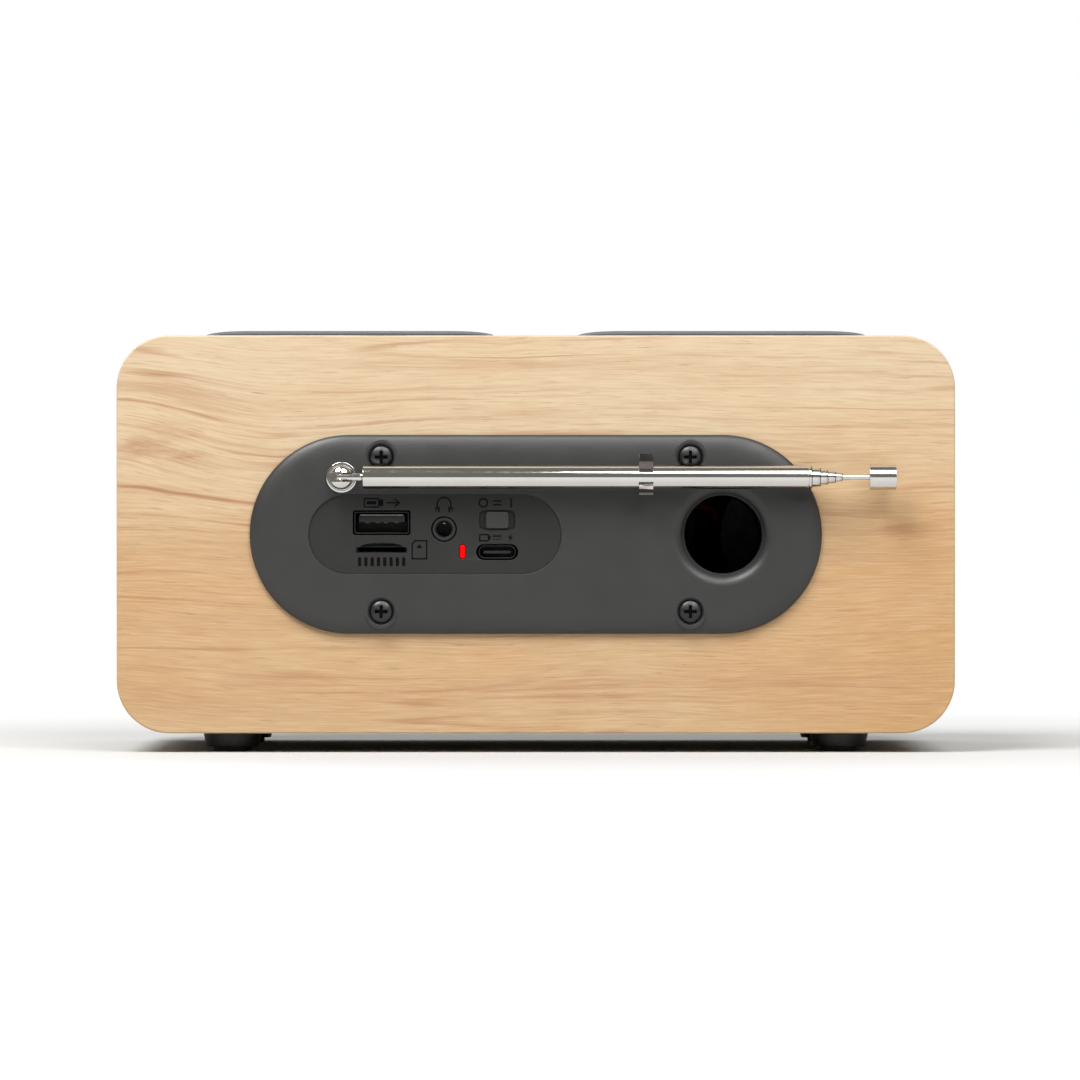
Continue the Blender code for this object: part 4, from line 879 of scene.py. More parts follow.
def make_usb_a():
    box = local_box("usb_a_socket")
    (width, height), low, high = box.size.xy, box.low.z, box.high.z
    outer = rounded(width, height, 0.5 * MM, 4)
    inner = rounded(width - 2 * SHELL_WALL, height - 2 * SHELL_WALL, 0.3 * MM, 4)
    tongue_size = (*mm(11.1, 1.7), high - low - 2 * MM)
    tongue = block(tongue_size, (0, 0.95 * MM, (high + low) / 2 - 0.9 * MM))
    lip = block(mm(10.2, 0.16, 0.5), (0, 1.86 * MM, high - 1.1 * MM), *mm(0.05, 0.06))
    back = block(mm(12.4, 4.6, 0.8), (0, 0, low + 1.2 * MM))
    contacts = []
    for u in mm(-3.5, -1.0, 1.0, 3.5):
        contacts.append(block(mm(1.0, 0.12, 7), (u, 0.03 * MM, high - 5.6 * MM), *mm(0.04, 0.05)))
    place = on_rear(*box.middle.xy)
    piece("usb_a_shell", sleeve(outer, inner, box), DARK_TIN, place=place, replaces="usb_a_socket")
    piece("usb_a_tongue", tongue, BLACK, place=place)
    piece("usb_a_lip", lip, TIN, place=place)
    piece("usb_a_back", back, BLACK, place=place)
    piece("usb_a_contacts", merged(*contacts), GOLD, place=place)


def make_usb_c():
    box = local_box("usb_c_socket")
    (width, height), low, high = box.size.xy, box.low.z, box.high.z
    outer = stadium(width, height, 14)
    inner = stadium(width - 2 * SHELL_WALL, height - 2 * SHELL_WALL, 14)
    tongue = block(mm(6.7, 0.7, 6.4), (0, 0, high - 4.2 * MM), *mm(0.15, 0.15))
    bottom = stadium(width - 0.7 * MM, height - 0.7 * MM, 10)
    back = slab(bottom, low + 0.1 * MM, low + 0.9 * MM, 0.05 * MM)
    contacts = []
    for u in range(-5, 6):
        for side in (-1, 1):
            centre = (u * 0.5 * MM, side * 0.37 * MM, high - 4.0 * MM)
            contacts.append(block(mm(0.26, 0.06, 3.6), centre, *mm(0.02, 0.02)))
    place = on_rear(*box.middle.xy)
    piece("usb_c_shell", sleeve(outer, inner, box), DARK_TIN, place=place, replaces="usb_c_socket")
    piece("usb_c_tongue", tongue, BLACK, place=place)
    piece("usb_c_back", back, BLACK, place=place)
    piece("usb_c_contacts", merged(*contacts), GOLD, place=place)


def make_jack():
    box, jack = local_box("audio_jack"), jack_middle()
    top, bottom = box.high.z, box.high.z - JACK_DEPTH
    inside = [(JACK_BORE, bottom), (JACK_BORE, top - 0.5 * MM), (JACK_BORE + 0.35 * MM, top - 0.02 * MM)]
    outside = [(JACK_OUTER - 0.2 * MM, top), (JACK_OUTER, top - 0.25 * MM), (JACK_OUTER, bottom)]
    collar = turned(smooth_path([*inside, *outside], 0.15 * MM), 56, ring=True)
    body = block(mm(6.4, 4.8, 3), (0, (box.low.y + 2.4 * MM) - jack.y, top - 11 * MM))
    leaf = block(mm(0.6, 0.25, 4), (0, JACK_BORE - 0.35 * MM, top - 5.5 * MM), *mm(0.05, 0.08))
    place = on_rear(*jack)
    piece("jack_collar", collar, BLACK, place=place, replaces="audio_jack")
    piece("jack_body", body, BLACK, place=place)
    piece("jack_spring", leaf, TIN, place=place)


def make_card_reader():
    box = local_box("card_reader")
    cage = sleeve(rounded(*box.size.xy, 0.3 * MM, 3), rounded(*mm(11.3, 1.1, 0.15), 2), box)
    piece("card_cage", cage, DARK_TIN, place=on_rear(*box.middle.xy), replaces="card_reader")


def make_switch():
    box = local_box("power_switch_knob")
    place = on_rear(*box.middle.xy)
    track = rounded(*mm(4.4, 1.8, 0.2), 2)
    floor = slab(rounded(*mm(8.36, 4.5, 1.05), 6), *mm(1.02, 1.32, 0.05), [track], 0.05 * MM)
    piece("switch_track", floor, INSERT, place=place)
    step_up = box.high.z - 1.6 * MM
    cap_mesh = slab(rounded(*box.size.xy, 0.7 * MM, 6), step_up, box.high.z, 0.32 * MM)
    lever = slab(rounded(*mm(1.6, 1.6, 0.2), 3), box.low.z, step_up + 0.3 * MM, 0.05 * MM)
    knob = carved(cap_mesh, ("UNION", lever))
    piece("switch_knob", knob, GREY, "power_switch_knob", place, "power_switch_knob")


def make_charge_light():
    box = local_box("charge_light_pipe")
    lens = slab(stadium(*box.size.xy, 12), box.low.z, box.high.z, 0.3 * MM)
    piece("charge_light", lens, RED, place=on_rear(*box.middle.xy), replaces="charge_light_pipe")


# ---------------------------------------------------------------- printed marks

MARK_THICK, MARK_EDGE, DECAL_GAP, MARK_SUNK = mm(0.03, 0.008, 0.01, 0.015)


class Marks:
    """Thin printed shapes gathered into one piece. Their sizes are in millimetres, from an origin."""

    def __init__(self, place, height, stroke=0.32):
        self.place, self.height, self.stroke = place, height, stroke
        self.origin, self.shapes = (0, 0), []

    def fill(self, outline, holes=()):
        u, v = self.origin
        outline, *holes = ([(u + x * MM, v + y * MM) for x, y in loop] for loop in (outline, *holes))
        top = self.height + MARK_THICK
        self.shapes.append(slab(outline, self.height, top, MARK_EDGE, holes, MARK_EDGE, 1))

    def line(self, *points):
        for (ax, ay), (bx, by) in zip(points, points[1:]):
            length = math.dist((ax, ay), (bx, by)) + self.stroke
            bar = rounded(length, self.stroke, self.stroke * 0.45, 3)
            angle = math.atan2(by - ay, bx - ax)
            cos, sin = math.cos(angle), math.sin(angle)
            mid = ((ax + bx) / 2, (ay + by) / 2)
            self.fill([(mid[0] + x * cos - y * sin, mid[1] + x * sin + y * cos) for x, y in bar])

    def hoop(self, centre, radius, start=0, end=360, steps=20):
        angles = [math.radians(start + (end - start) * i / steps) for i in range(steps + 1)]
        far, near = (
            [(centre[0] + r * math.cos(a), centre[1] + r * math.sin(a)) for a in angles]
            for r in (radius + self.stroke / 2, radius - self.stroke / 2)
        )
        if end - start >= 360:
            self.fill(far[:-1], [near[1:]])
        else:
            self.fill(far + near[::-1])

    def bar(self, centre, width, height, radius=0.08):
        self.fill(rounded(width, height, radius, 2, centre))

    def crescent(self, radius, horn=50, shift=0.55, steps=24):
        """A moon, open to the right: an arc, and a smaller arc that meets its two ends."""
        tip_x, tip_y = radius * math.cos(math.radians(horn)), radius * math.sin(math.radians(horn))
        middle = radius * shift
        bite, turn = math.hypot(tip_x - middle, tip_y), math.atan2(tip_y, tip_x - middle)
        arc = [math.radians(horn + (360 - 2 * horn) * i / steps) for i in range(steps + 1)]
        back = [2 * math.pi - turn - (2 * math.pi - 2 * turn) * i / steps for i in range(1, steps)]
        outline = [(radius * math.cos(a), radius * math.sin(a)) for a in arc]
        self.fill(outline + [(middle + bite * math.cos(a), bite * math.sin(a)) for a in back])

    def frame(self, centre, width, height, radius=0.3):
        thin, bend = 2 * self.stroke, max(radius - self.stroke, 0.05)
        inner = rounded(width - thin, height - thin, bend, 3, centre)
        self.fill(rounded(width, height, radius, 3, centre), [inner])

    def finish(self, name, material, body="case"):
        piece(name, merged(*self.shapes), material, body, self.place, weighted=False)


def headphones_mark(marks):
    marks.hoop((0, 0), 1.65, 0, 180)
    for side in (-1, 1):
        marks.line((side * 1.65, 0), (side * 1.65, -0.9))
        marks.bar((side * 1.25, -1.2), 0.42, 1.3, 0.15)
        marks.bar((side * 1.95, -1.2), 0.3, 1.0, 0.12)


def battery_mark(marks):
    """A battery cell, and an arrow out of it."""
    marks.frame((-2.4, 0), 3.8, 2.3)
    marks.bar((-0.05, 0), 0.9, 1.5)
    marks.bar((-2.4, 0), 2.3, 0.8)
    marks.line((1.3, 0), (4.2, 0))
    marks.line((3.2, 0.8), (4.2, 0), (3.2, -0.8))


def card_mark(marks):
    """A row of contact fingers, and beside it a card with a cut corner and an arrowhead."""
    for i in range(8):
        marks.bar((-5.25 + i * 1.5, -2.85), 0.75, 2.1, 0.15)
    left, right, tall, cut = 9.0 - 1.72, 9.0 + 1.72, 2.15, 0.7
    marks.line((left + cut, tall), (right, tall), (right, -tall), (left, -tall))
    marks.line((left, -tall), (left, tall - 0.8), (left + cut, tall))
    marks.fill([(9.0 - 0.75, 0.4), (9.0 + 0.75, 0.4), (9.0, 1.3)])


def switch_mark(marks):
    """A ring for off, two bars, and a line for on."""
    marks.hoop((-3.3, 0), 1.0)
    marks.line((3.3, -1.0), (3.3, 1.0))
    for side in (-1, 1):
        marks.line((-0.9, side * 0.45), (0.9, side * 0.45))


def charging_mark(marks):
    """A direct-current sign, a small cell, and a flash."""
    marks.line((-1.0, 0.4), (1.0, 0.4))
    for i in (-1, 0, 1):
        marks.bar((i * 0.75, -0.35), 0.45, 0.22, 0.06)
    marks.frame((-3.1, 0), 2.4, 1.8, 0.25)
    marks.bar((-1.72, 0), 0.3, 0.9)
    marks.fill([(3.5, 1.0), (2.5, -0.1), (3.1, -0.1), (2.8, -1.0), (3.8, 0.2), (3.2, 0.2)])


def make_panel_marks():
    """Plain pictograms by each socket, each set above or below the socket's middle."""
    marks = Marks(REAR, local_box("socket_panel").high.z + DECAL_GAP)
    jack = jack_middle()
    for draw, centre, above in (
        (headphones_mark, jack, 5.9),
        (battery_mark, local_box("usb_a_socket").middle, 4.75),
        (card_mark, local_box("card_reader").middle, 0),
        (switch_mark, local_box("power_switch_knob").middle, 4.1),
        (charging_mark, local_box("usb_c_socket").middle, 3.4),
    ):
        marks.origin = (centre.x, centre.y + above * MM)
        draw(marks)
    marks.finish("panel_marks", INK_AND_SHADE)


# ---------------------------------------------------------------- aerial

TELESCOPE = ["tube", *(f"section_{number}" for number in range(2, 6)), "rod"]
PIVOT = local_box("aerial_elbow_pin", WORLD).middle
REAR_PIVOT = REAR.inverted() @ PIVOT
AT_PIVOT = Matrix.Translation(PIVOT)
ALONG = AT_PIVOT @ Matrix.Rotation(math.radians(-90), 4, "Y")
TUBE_START, TUBE_BORE, SECTION_WALL, GROOVE = mm(5.2, 12, 0.22, 0.12)
TUBE_R = 2.75 * MM


def reach(node):
    """Where a node starts and ends along the folded aerial, from its pivot, and its outer radius."""
    low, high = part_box(node)
    return PIVOT.x - high.x, PIVOT.x - low.x, (high.z - low.z) / 2


def make_aerial_mount():
    bush = local_box("aerial_bush")
    top, bore, neck, flange = bush.high.z, *mm(1.6, 2.2, 3.65)
    flange = min(bush.size.x / 2, flange)
    seat, sunk = top - 0.75 * MM, top - 0.3 * MM
    inside = [(bore, bush.low.z), (bore, sunk), (flange - 0.95 * MM, sunk), (flange - 0.75 * MM, top)]
    outside = [(flange, top), (flange, seat), (neck, seat), (neck, bush.low.z)]
    ring = turned(smooth_path([*inside, *outside], 0.14 * MM, 3), 72, ring=True)
    place = on_rear(REAR_PIVOT.x, REAR_PIVOT.y)
    piece("aerial_flange", ring, CHROME, place=place, replaces="aerial_bush")
    hole = circle(2.3 * MM, 32)
    nut = slab(circle(3.4 * MM, 6), -2 * MM, 0, 0.2 * MM, [hole], 0.1 * MM, foot=0.2 * MM)
    piece("aerial_nut", nut, TIN, place=place)


def make_swivel():
    """A domed head on a stem, slotted across for the aerial's tongue."""
    box = local_box("aerial_swivel")
    radius, top, bottom = box.size.x / 2, box.high.z - REAR_PIVOT.z, box.low.z - REAR_PIVOT.z
    base, stem = top - 5.7 * MM, 1.3 * MM
    crown = [(radius * math.sin(a), top - radius * 0.66 * (1 - math.cos(a))) for a in quarter(12)[1:]]
    skirt = [(radius, base + 0.9 * MM), (radius - 0.35 * MM, base), (stem, base)]
    profile = [(0, top), *crown, *smooth_path(skirt, 0.1 * MM, 3), (stem, bottom), (0, bottom)]
    slot = block(mm(20, 2.3, 10), mm(0, 0, 5 - 1.5), *mm(0.05, 0.1))
    swivel = carved(turned(profile, 72), ("DIFFERENCE", slot))
    place = on_rear(*REAR_PIVOT)
    piece("swivel_head", swivel, CHROME, "aerial_swivel", place, "aerial_swivel", sharp=30)


def make_elbow_rivet():
    half, inner, outer = local_box("aerial_elbow_pin", WORLD).size.z / 2, *mm(0.5, 0.6)
    end = [(0, half), (inner, half), (outer, half - 0.15 * MM), (outer, 0)]
    end = smooth_path(end, 0.05 * MM, 2)
    rivet = turned(end + [(r, -z) for r, z in reversed(end[:-1])], 24)
    piece("elbow_rivet", rivet, TIN, "aerial_swivel", AT_PIVOT, "aerial_elbow_pin")


def grooved(radius, end, groove):
    """The outside of a tube near its open end: a pressed groove, given by four distances from the end."""
    steps = zip((radius, radius - GROOVE, radius - GROOVE, radius), groove)
    return [(r, end - distance * MM) for r, distance in steps]


def make_outer_tube():
    _, end, radius = reach("aerial_tube")
    inner, floor = radius - 0.45 * MM, end - TUBE_BORE
    outside = [(0, TUBE_START), (radius, TUBE_START), *grooved(radius, end, (0.9, 0.75, 0.55, 0.45))]
    inside = [(radius, end), (inner, end), (inner, floor), (0, floor)]
    tube = turned(smooth_path([*outside, *inside], 0.07 * MM, 3), 72)
    piece("aerial_outer_tube", tube, CHROME, "aerial_tube", ALONG, "aerial_tube")


def make_tongue():
    """The blade that joins the tube to the pivot."""
    middle = (-(TUBE_START - 0.7 * MM) / 2, 0)
    outline = rounded(TUBE_START + 1.9 * MM, 2.6 * MM, 1.28 * MM, 10, middle)
    half, fillet = mm(0.95, 0.82)
    blade = slab(outline, -half, half, fillet, foot=fillet, steps=8)
    piece("aerial_tongue", blade, CHROME, "aerial_tube", AT_PIVOT)


def make_section(node):
    start, end, radius = reach(node)
    inner = radius - SECTION_WALL
    outside = [(inner, start), (radius, start), *grooved(radius, end, (0.42, 0.40, 0.22, 0.20))]
    profile = smooth_path([*outside, (radius, end), (inner, end)], 0.02 * MM, 1)
    piece(f"{node}_tube", turned(profile, 56, ring=True), CHROME, node, ALONG, node)


def make_tube_mouth_shade(outer, inner):
    """A near-black ring in a tube's mouth that the next one slides through: painted shade for the gap between
    the tubes.
    """
    _, end, radius = reach(f"aerial_{outer}")
    radius, bore = radius - 0.10 * MM, reach(f"aerial_{inner}")[2] + 0.02 * MM
    bottom, top, body = end - 1.2 * MM, end + 0.16 * MM, radius - 0.2 * MM
    profile = [(bore, bottom), (body, bottom), (body, end), (radius, end), (radius, top), (bore, top)]
    # This near-black ring is painted shade, not a part of its own colour.
    piece(f"aerial_{outer}_bush", turned(profile, 56, ring=True), INK_AND_SHADE, f"aerial_{outer}", ALONG)


def make_rod_and_knob():
    start, end, radius = reach("aerial_rod")
    profile = smooth_path([(0, start), (radius, start), (radius, end), (0, end)], 0.1 * MM, 2)
    piece("aerial_inner_rod", turned(profile, 32), CHROME, "aerial_rod", ALONG, "aerial_rod")
    start, end, radius = reach("aerial_tip")
    bore, floor = 0.8 * MM, start + 3.3 * MM
    rim = [(bore, start + 0.6 * MM), (bore, start), (radius, start), (radius, end), (0, end)]
    knob = turned([(0, floor), (bore, floor), *smooth_path(rim, 0.13 * MM, 4)], 72)
    piece("aerial_knob", knob, CHROME, "aerial_rod", ALONG, "aerial_tip")


def make_aerial():
    make_outer_tube()
    make_tongue()
    for name in TELESCOPE[1:-1]:
        make_section(f"aerial_{name}")
    for outer, inner in zip(TELESCOPE, TELESCOPE[1:]):
        make_tube_mouth_shade(outer, inner)
    make_rod_and_knob()


CLIP_THICK, CLIP_NECK, CLIP_SLACK, CLIP_END = mm(0.5, 1.75, 0.15, 0.1)
UPPER_LIP = (9.75, (3.7, 10.0), (2.9, 9.95), (2.15, 9.65))
LOWER_LIP = (9.93, *UPPER_LIP[1:])


def clip_line(box):
    """The middle of the spring strip, seen from the end of the aerial, from its upper lip to its lower."""
    radius = TUBE_R + CLIP_SLACK + CLIP_THICK / 2
    gap = math.asin(CLIP_NECK / radius)
    angles = [gap + (2 * math.pi - 2 * gap) * step / 48 for step in range(49)]
    hoop = [(radius * math.sin(a), REAR_PIVOT.z + radius * math.cos(a)) for a in angles]
    lips = []
    for way, edge, joint, (end_w, *bends) in (
        (1, box.high.y, hoop[0], UPPER_LIP),
        (-1, box.low.y, hoop[-1], LOWER_LIP),
    ):
        lip_end = (edge - REAR_PIVOT.y - way * CLIP_END, end_w * MM)
        lip = [lip_end, *((way * v * MM, w * MM) for v, w in bends), joint]
        lips.append(smooth_path(lip, 0.5 * MM, 3)[:-1])
    return lips[0] + hoop + lips[1][::-1]


def thickened(line, thick):
    """The outline of a strip along a line, anticlockwise."""
    left, right = [], []
    for i, (v, w) in enumerate(line):
        before, after = Vector(line[max(i - 1, 0)]), Vector(line[min(i + 1, len(line) - 1)])
        along = (after - before).normalized()
        side = Vector((-along.y, along.x)) * thick / 2
        left.append((v + side.x, w + side.y))
        right.append((v - side.x, w - side.y))
    outline = left + right[::-1]
    area = sum(a[0] * b[1] - b[0] * a[1] for a, b in zip(outline, outline[1:] + outline[:1]))
    return outline if area > 0 else outline[::-1]


def make_clip():
    """A spring strip: a foot on the plate, a hoop round the tube, a narrow neck, and two flared lips."""
    box = local_box("aerial_clip")
    width = box.size.x
    outline = thickened(clip_line(box), CLIP_THICK)
    strip = slab(outline, -width / 2, width / 2, 0.1 * MM, steps=2, foot=0.1 * MM)
    on_end = Matrix(((0, 0, 1, 0), (1, 0, 0, 0), (0, 1, 0, 0), (0, 0, 0, 1)))
    foot = block((width, *mm(3.2, 0.5)), (0, 0, PLATE_FLAT + 0.28 * MM), *mm(0.08, 0.3))
    place = on_rear(box.middle.x, REAR_PIVOT.y)
    piece("clip_strip", placed(strip, on_end), SPRING, place=place, replaces="aerial_clip", sharp=50)
    piece("clip_foot", foot, SPRING, place=place)


# ---------------------------------------------------------------- feet

CUP_TAPER, CUP_R, CUP_DEEP, GROOVE_HALF, GROOVE_DEEP, PAD_EDGE = mm(0.8, 4.95, 0.6, 0.22, 0.18, 0.25)


def make_foot(where):
    """A tapered cup, and under it a grooved rubber pad."""
    cup = local_box(f"foot_{where}", WORLD)
    top, low, high = cup.size.x / 2, cup.low.z, cup.high.z
    outside = [(0, high), (top - 0.05 * MM, high), (top - CUP_TAPER, low)]
    hollow = [(CUP_R, low), (CUP_R, low + CUP_DEEP), (0, low + CUP_DEEP)]
    body = turned(smooth_path([*outside, *hollow], 0.3 * MM, 4), 72)
    place = Matrix.Translation((*cup.middle.xy, 0))
    piece(f"foot_cup_{where}", body, BLACK, place=place, replaces=f"foot_{where}")
    pad = local_box(f"foot_pad_{where}", WORLD)
    radius, low, high = pad.size.x / 2, pad.low.z, pad.high.z
    profile = [(0, high), (radius, high), (radius, low + PAD_EDGE), (radius - PAD_EDGE, low)]
    for ring in (0.82, 0.6, 0.35):
        r = radius * ring
        profile += [(r + GROOVE_HALF, low), (r, low + GROOVE_DEEP), (r - GROOVE_HALF, low)]
    rubber = turned([*profile, (0, low)], 72)
    piece(f"foot_rubber_{where}", rubber, RUBBER, place=place, replaces=f"foot_pad_{where}")


# ---------------------------------------------------------------- key decks

DECK_LIP, DECK_SHOULDER, DECK_R, DECK_GAP = mm(0.7, 8.0, 12, 0.2)
KEY_SLIP, ROCKER_SLIP, KEY_FLANGE, KEY_DEPTH, KEY_R = mm(0.3, 0.4, 2, 12, 2)
KEYS = {
    "left": ("power_key", "alarm_one_key", "alarm_two_key", "snooze_bar"),
    "right": ("previous_key", "play_key", "next_key", "volume_rocker"),
}


def key_outline(node, grow=0.0):
    """The outline of a key's cap, grown by the slip round it."""
    key = local_box(node, WORLD)
    flange = 0.0 if node == "volume_rocker" else KEY_FLANGE
    width, depth = key.size.x - flange + 2 * grow, KEY_DEPTH + 2 * grow
    return rounded(width, depth, KEY_R + grow, 8, key.middle.xy)


def make_deck(side):
    box = local_box(f"control_deck_{side}", WORLD)
    outline = rounded(*box.size.xy, DECK_R, 16, box.middle.xy)
    base, top = CASE_HIGH.z + DECK_GAP, box.high.z
    edge = [(outline, base), (outline, base + DECK_LIP - 0.3 * MM)]
    edge += shoulder(outline, DECK_SHOULDER, base + DECK_LIP - 0.2 * MM, top, 12)
    holes = []
    for node in KEYS[side]:
        slip = ROCKER_SLIP if node == "volume_rocker" else KEY_SLIP
        holes.append(wall_of(key_outline(node, slip), base, top, 0.2 * MM, -1, 3))
    deck = lofted([edge, *holes])
    piece(f"deck_{side}", deck, GREY, place=WORLD, replaces=f"control_deck_{side}")


def make_key(node):
    top = local_box(node, WORLD).high.z
    cap_mesh = slab(key_outline(node), top - 2.2 * MM, top - 0.02 * MM, 0.45 * MM, steps=5)
    piece(f"{node}_cap", cap_mesh, KEYTOP, node, WORLD, replaces=node)


def power_mark(marks):
    marks.hoop((0, 0), 2.0, 120, 420)
    marks.line((0, 0.7), (0, 2.5))


def alarm_mark(marks, count):
    """An alarm clock with two bells, and one or two dots under it."""
    marks.hoop((0, 0), 1.9)
    marks.line((0, 1.1), (0, 0), (0.8, 0))
    marks.line((-2.4, 1.5), (-1.5, 2.4))
    marks.line((1.5, 2.4), (2.4, 1.5))
    for i in range(count):
        marks.bar(((i - (count - 1) / 2) * 1.1, -3.2), 0.55, 0.55, 0.25)


def skip_mark(marks, way):
    """Two arrowheads and a bar. way is 1 for the next track and -1 for the one before."""
    for shift in (-0.85, 0.85):
        tip, tail = shift + way * 0.85, shift - way * 0.85
        points = [(tip, 0), (tail, 1.2), (tail, -1.2)]
        marks.fill(points if way > 0 else points[::-1])
    marks.bar((way * 2.0, 0), 0.4, 2.4)


def play_mark(marks):
    marks.fill([(0.6, 0), (-1.9, 1.5), (-1.9, -1.5)])
    for x in (1.3, 2.3):
        marks.bar((x, 0), 0.5, 2.8)


def volume_mark(marks):
    for x in (-19, 19):
        marks.line((x - 1.5, 0), (x + 1.5, 0))
    marks.line((19, -1.5), (19, 1.5))


def make_key_marks():
    """Plain pictograms on the keys, pale so that they read on the dark rubber."""
    for node, draw, details in (
        ("power_key", power_mark, ()),
        ("alarm_one_key", alarm_mark, (1,)),
        ("alarm_two_key", alarm_mark, (2,)),
        ("snooze_bar", Marks.crescent, (2.2,)),
        ("previous_key", skip_mark, (-1,)),
        ("next_key", skip_mark, (1,)),
        ("play_key", play_mark, ()),
        ("volume_rocker", volume_mark, ()),
    ):
        box = local_box(node, WORLD)
        marks = Marks(WORLD, box.high.z - MARK_SUNK, 0.35)
        marks.origin = box.middle.xy
        draw(marks, *details)
        marks.finish(f"{node}_mark", PALE_INK, node)


# ---------------------------------------------------------------- front

EDGE_TURN, SKIN, CLOTH_GAP, GRILLE_R, FRAME_FILLET, BACK_GAP = mm(1.1, 0.35, 0.1, 4.7, 0.9, 0.1)


def make_grille():
    """A moulded frame with cloth stretched over it and turned back round its edges and its window."""
    box = local_box("front_grille", FRONT)
    lens_size = local_box("display_lens", FRONT).size
    under = SKIN + CLOTH_GAP
    outer = rounded(box.size.x, box.size.y, GRILLE_R, 12)
    window = stadium(lens_size.x + 0.6 * MM, lens_size.y + 0.6 * MM, 28)
    holes = [offset(window, -under)]
    board = slab(offset(outer, under), box.low.z, box.high.z - under, FRAME_FILLET, holes, FRAME_FILLET, 5)
    piece("grille_frame", board, BLACK, place=FRONT, replaces="front_grille")
    back = box.low.z + BACK_GAP
    cloth_sheet = lofted_sheet(
        wall_of(outer, back, box.high.z, EDGE_TURN, 1, 7),
        wall_of(window, back, box.high.z, EDGE_TURN, -1, 7),
    )
    made = piece("grille_cloth", cloth_sheet, CLOTH, place=FRONT, weighted=False, sharp=60)
    thicken = made.modifiers.new("cloth_thickness", "SOLIDIFY")
    thicken.thickness = SKIN - 0.05 * MM
    thicken.offset = -1


def lofted_sheet(outer, inner):
    """An open surface: the outer wall, the flat face, and the wall of the window in it."""
    bm = bmesh.new()
    tops = []
    for wall in (outer, inner):
        rings = [ring_of(bm, loop, w) for loop, w in wall]
        for first, second in zip(rings, rings[1:]):
            bridge(bm, first, second)
        tops.append(rings[-1])
    cap(bm, tops)
    return to_mesh(bm)


RIGHT_AND_LEFT = {"b": (1, 0.5), "c": (1, -0.5), "e": (-1, -0.5), "f": (-1, 0.5)}
SEGMENTS = {"a": (0, 1), "d": (0, -1), "g": (0, 0), **RIGHT_AND_LEFT}
FIGURES = {"1": "bc", "0": "abcdef", "8": "abcdefg"}
FIGURE_H, FIGURE_W, STROKE, FIGURE_THICK = mm(12.5, 6.6, 1.35, 0.25)


def segment(name, x):
    """One bar of a figure whose middle is at x, pointed at both ends."""
    sx, sy = SEGMENTS[name]
    flat = name in "adg"
    half, tip = ((FIGURE_W if flat else FIGURE_H / 2) - STROKE * 1.25) / 2, STROKE / 2
    near = half - tip
    bar = [(-half, 0), (-near, -tip), (near, -tip), (half, 0), (near, tip), (-near, tip)]
    if not flat:
        bar = [(-py, px) for px, py in bar]
    cx, cy = x + sx * FIGURE_W / 2, sy * FIGURE_H / 2
    return slab([(cx + px, cy + py) for px, py in bar], 0, FIGURE_THICK, 0.04 * MM)


def figures(text):
    """Seven-segment figures as flat bars, centred on the origin."""
    bars, at = [], 0.0
    steps = [(FIGURE_W + 2.6 * STROKE) * (0.5 if sign == ":" else 1) for sign in text]
    for sign, step in zip(text, steps):
        x = at + step / 2 - sum(steps) / 2
        at += step
        if sign == ":":
            for side in (-1, 1):
                dot = circle(STROKE * 0.62, 20, (x, side * FIGURE_H * 0.22))
                bars.append(slab(dot, 0, FIGURE_THICK, 0.05 * MM))
        else:
            bars += [segment(name, x) for name in FIGURES[sign]]
    return merged(*bars)


def make_display():
    box = local_box("display_lens", FRONT)
    lens = slab(stadium(*box.size.xy, 32), box.low.z, box.high.z, 0.5 * MM, steps=6)
    piece("display_window", lens, SMOKED, place=FRONT, replaces="display_lens")
    module_face = local_box("display_module", FRONT).high.z
    place = FRONT @ Matrix.Translation((0, 0, module_face + 0.05 * MM))
    piece("display_figures", figures("10:08"), DIGIT, place=place, weighted=False)
    outline, opening = stadium(box.size.x - 1 * MM, box.size.y - 1 * MM, 24), rounded(*mm(50, 17, 1), 4)
    mask = slab(outline, box.low.z - 0.45 * MM, box.low.z - 0.1 * MM, 0.05 * MM, [opening])
    piece("display_mask", mask, SCREEN, place=FRONT)


# ---------------------------------------------------------------- carried-over nodes

CARRIED = {
    BLACK: ("bass_port", "power_switch_housing", "front_baffle", "battery_holder"),
    SCREEN: ("display_module",),
    COATED: ("speaker_frame_left", "speaker_frame_right"),
    PAPER: ("speaker_cone_left", "speaker_cone_right"),
    CIRCUIT: ("main_board", "key_board_left", "key_board_right"),
    SLEEVE: ("battery_cell",),
    VINYL: ("speaker_lead_left", "speaker_lead_right", "aerial_lead"),
}


def finish_carried_nodes():
    for material, names in CARRIED.items():
        for name in names:
            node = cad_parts[name]
            node.data.materials.clear()
            node.data.materials.append(material)


# ---------------------------------------------------------------- studio

CAMERA_BACK, CAMERA_X, CAMERA_Z, LENS, SENSOR, FARTHEST = 1.400, -0.001, 0.0507, 195.7, 36, 20
FLOOR_HALF = 3.0
REAR_TARGET, FRONT_TARGET = (0, CASE_HIGH.y, MIDDLE_Z), (0, 0, 0.05)
LIGHTS = (
    ("rear_left_box", (0.46, 0.68, 1.12), REAR_TARGET, (0.72, 0.80), 23, "ELLIPSE"),
    ("rear_right_box", (-0.40, 0.86, 0.95), REAR_TARGET, (0.80, 1.0), 13.5, "ELLIPSE"),
    ("front_box", (0.0, -1.0, 1.15), FRONT_TARGET, (2.6, 1.5), 15, "RECTANGLE"),
    ("front_fill", (0.75, -1.2, 0.45), FRONT_TARGET, (0.6, 0.6), 2.5, "RECTANGLE"),
)
WORLD_SEEN, WORLD_LIT, WORLD_STRENGTH = (1, 1, 1, 1), (1.0, 0.98, 0.88, 1), 0.22


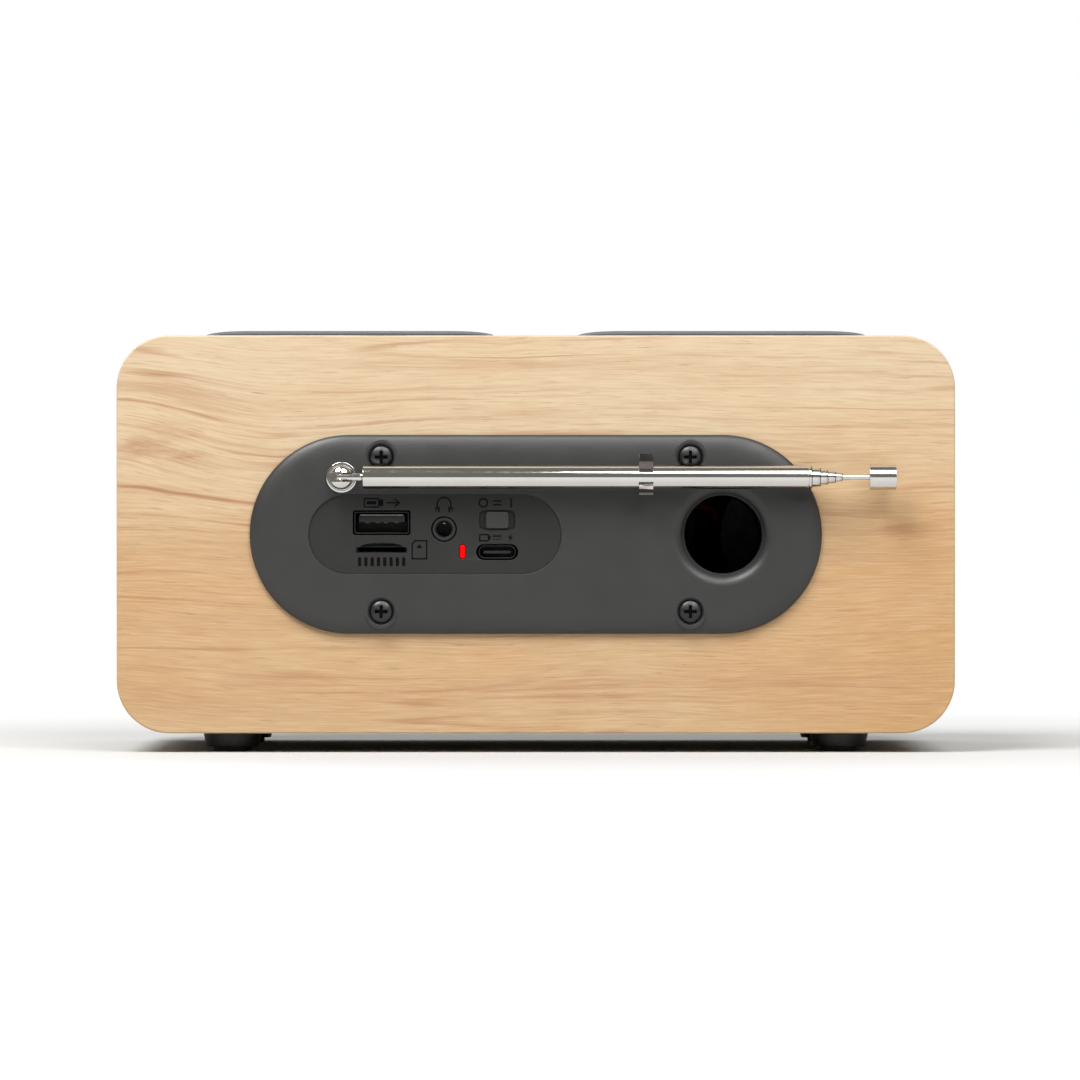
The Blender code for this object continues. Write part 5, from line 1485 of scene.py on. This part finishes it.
def softbox(name, place, target, size, power, shape):
    data = bpy.data.lights.new(name, "AREA")
    data.shape = shape
    data.size, data.size_y = size
    data.energy = power
    made = bpy.data.objects.new(name, data)
    made.location = place
    made.rotation_euler = (Vector(target) - Vector(place)).to_track_quat("-Z", "Y").to_euler()
    bpy.context.scene.collection.objects.link(made)


def make_floor():
    bm = bmesh.new()
    bmesh.ops.create_grid(bm, x_segments=2, y_segments=2, size=FLOOR_HALF)
    mesh = bpy.data.meshes.new("floor")
    bm.to_mesh(mesh)
    bm.free()
    floor = bpy.data.objects.new("floor", mesh)
    bpy.context.scene.collection.objects.link(floor)
    mesh.materials.append(studio_floor())


def make_world():
    """A white background for the camera, and a dimmer warm one that lights the object."""
    world = bpy.data.worlds.new("studio")
    bpy.context.scene.world = world
    world.use_nodes = True
    nodes, links = world.node_tree.nodes, world.node_tree.links
    seen, lit = nodes["Background"], nodes.new("ShaderNodeBackground")
    seen.inputs["Color"].default_value = WORLD_SEEN
    lit.inputs["Color"].default_value = WORLD_LIT
    lit.inputs["Strength"].default_value = WORLD_STRENGTH
    choose, path = nodes.new("ShaderNodeMixShader"), nodes.new("ShaderNodeLightPath")
    links.new(path.outputs["Is Camera Ray"], choose.inputs["Fac"])
    links.new(lit.outputs["Background"], choose.inputs[1])
    links.new(seen.outputs["Background"], choose.inputs[2])
    links.new(choose.outputs["Shader"], nodes["World Output"].inputs["Surface"])
    bpy.context.scene.view_settings.view_transform = "Standard"


def make_camera():
    data = bpy.data.cameras.new("camera")
    data.lens = LENS
    data.sensor_width = SENSOR
    data.clip_end = FARTHEST
    camera = bpy.data.objects.new("camera", data)
    camera.location = (CAMERA_X, CASE_HIGH.y + CAMERA_BACK, CAMERA_Z)
    camera.rotation_euler = (math.radians(90), 0, math.radians(180))
    bpy.context.scene.collection.objects.link(camera)
    bpy.context.scene.camera = camera


make_camera()
make_floor()
for light in LIGHTS:
    softbox(*light)
make_world()
make_case()
make_service_plate()
make_screws()
make_socket_panel()
make_usb_a()
make_usb_c()
make_jack()
make_card_reader()
make_switch()
make_charge_light()
make_panel_marks()
make_aerial_mount()
make_swivel()
make_elbow_rivet()
make_aerial()
make_clip()
for corner in ("front_left", "front_right", "rear_left", "rear_right"):
    make_foot(corner)
for deck_side in KEYS:
    make_deck(deck_side)
for key_name in (*KEYS["left"], *KEYS["right"]):
    make_key(key_name)
make_key_marks()
make_grille()
make_display()
finish_carried_nodes()
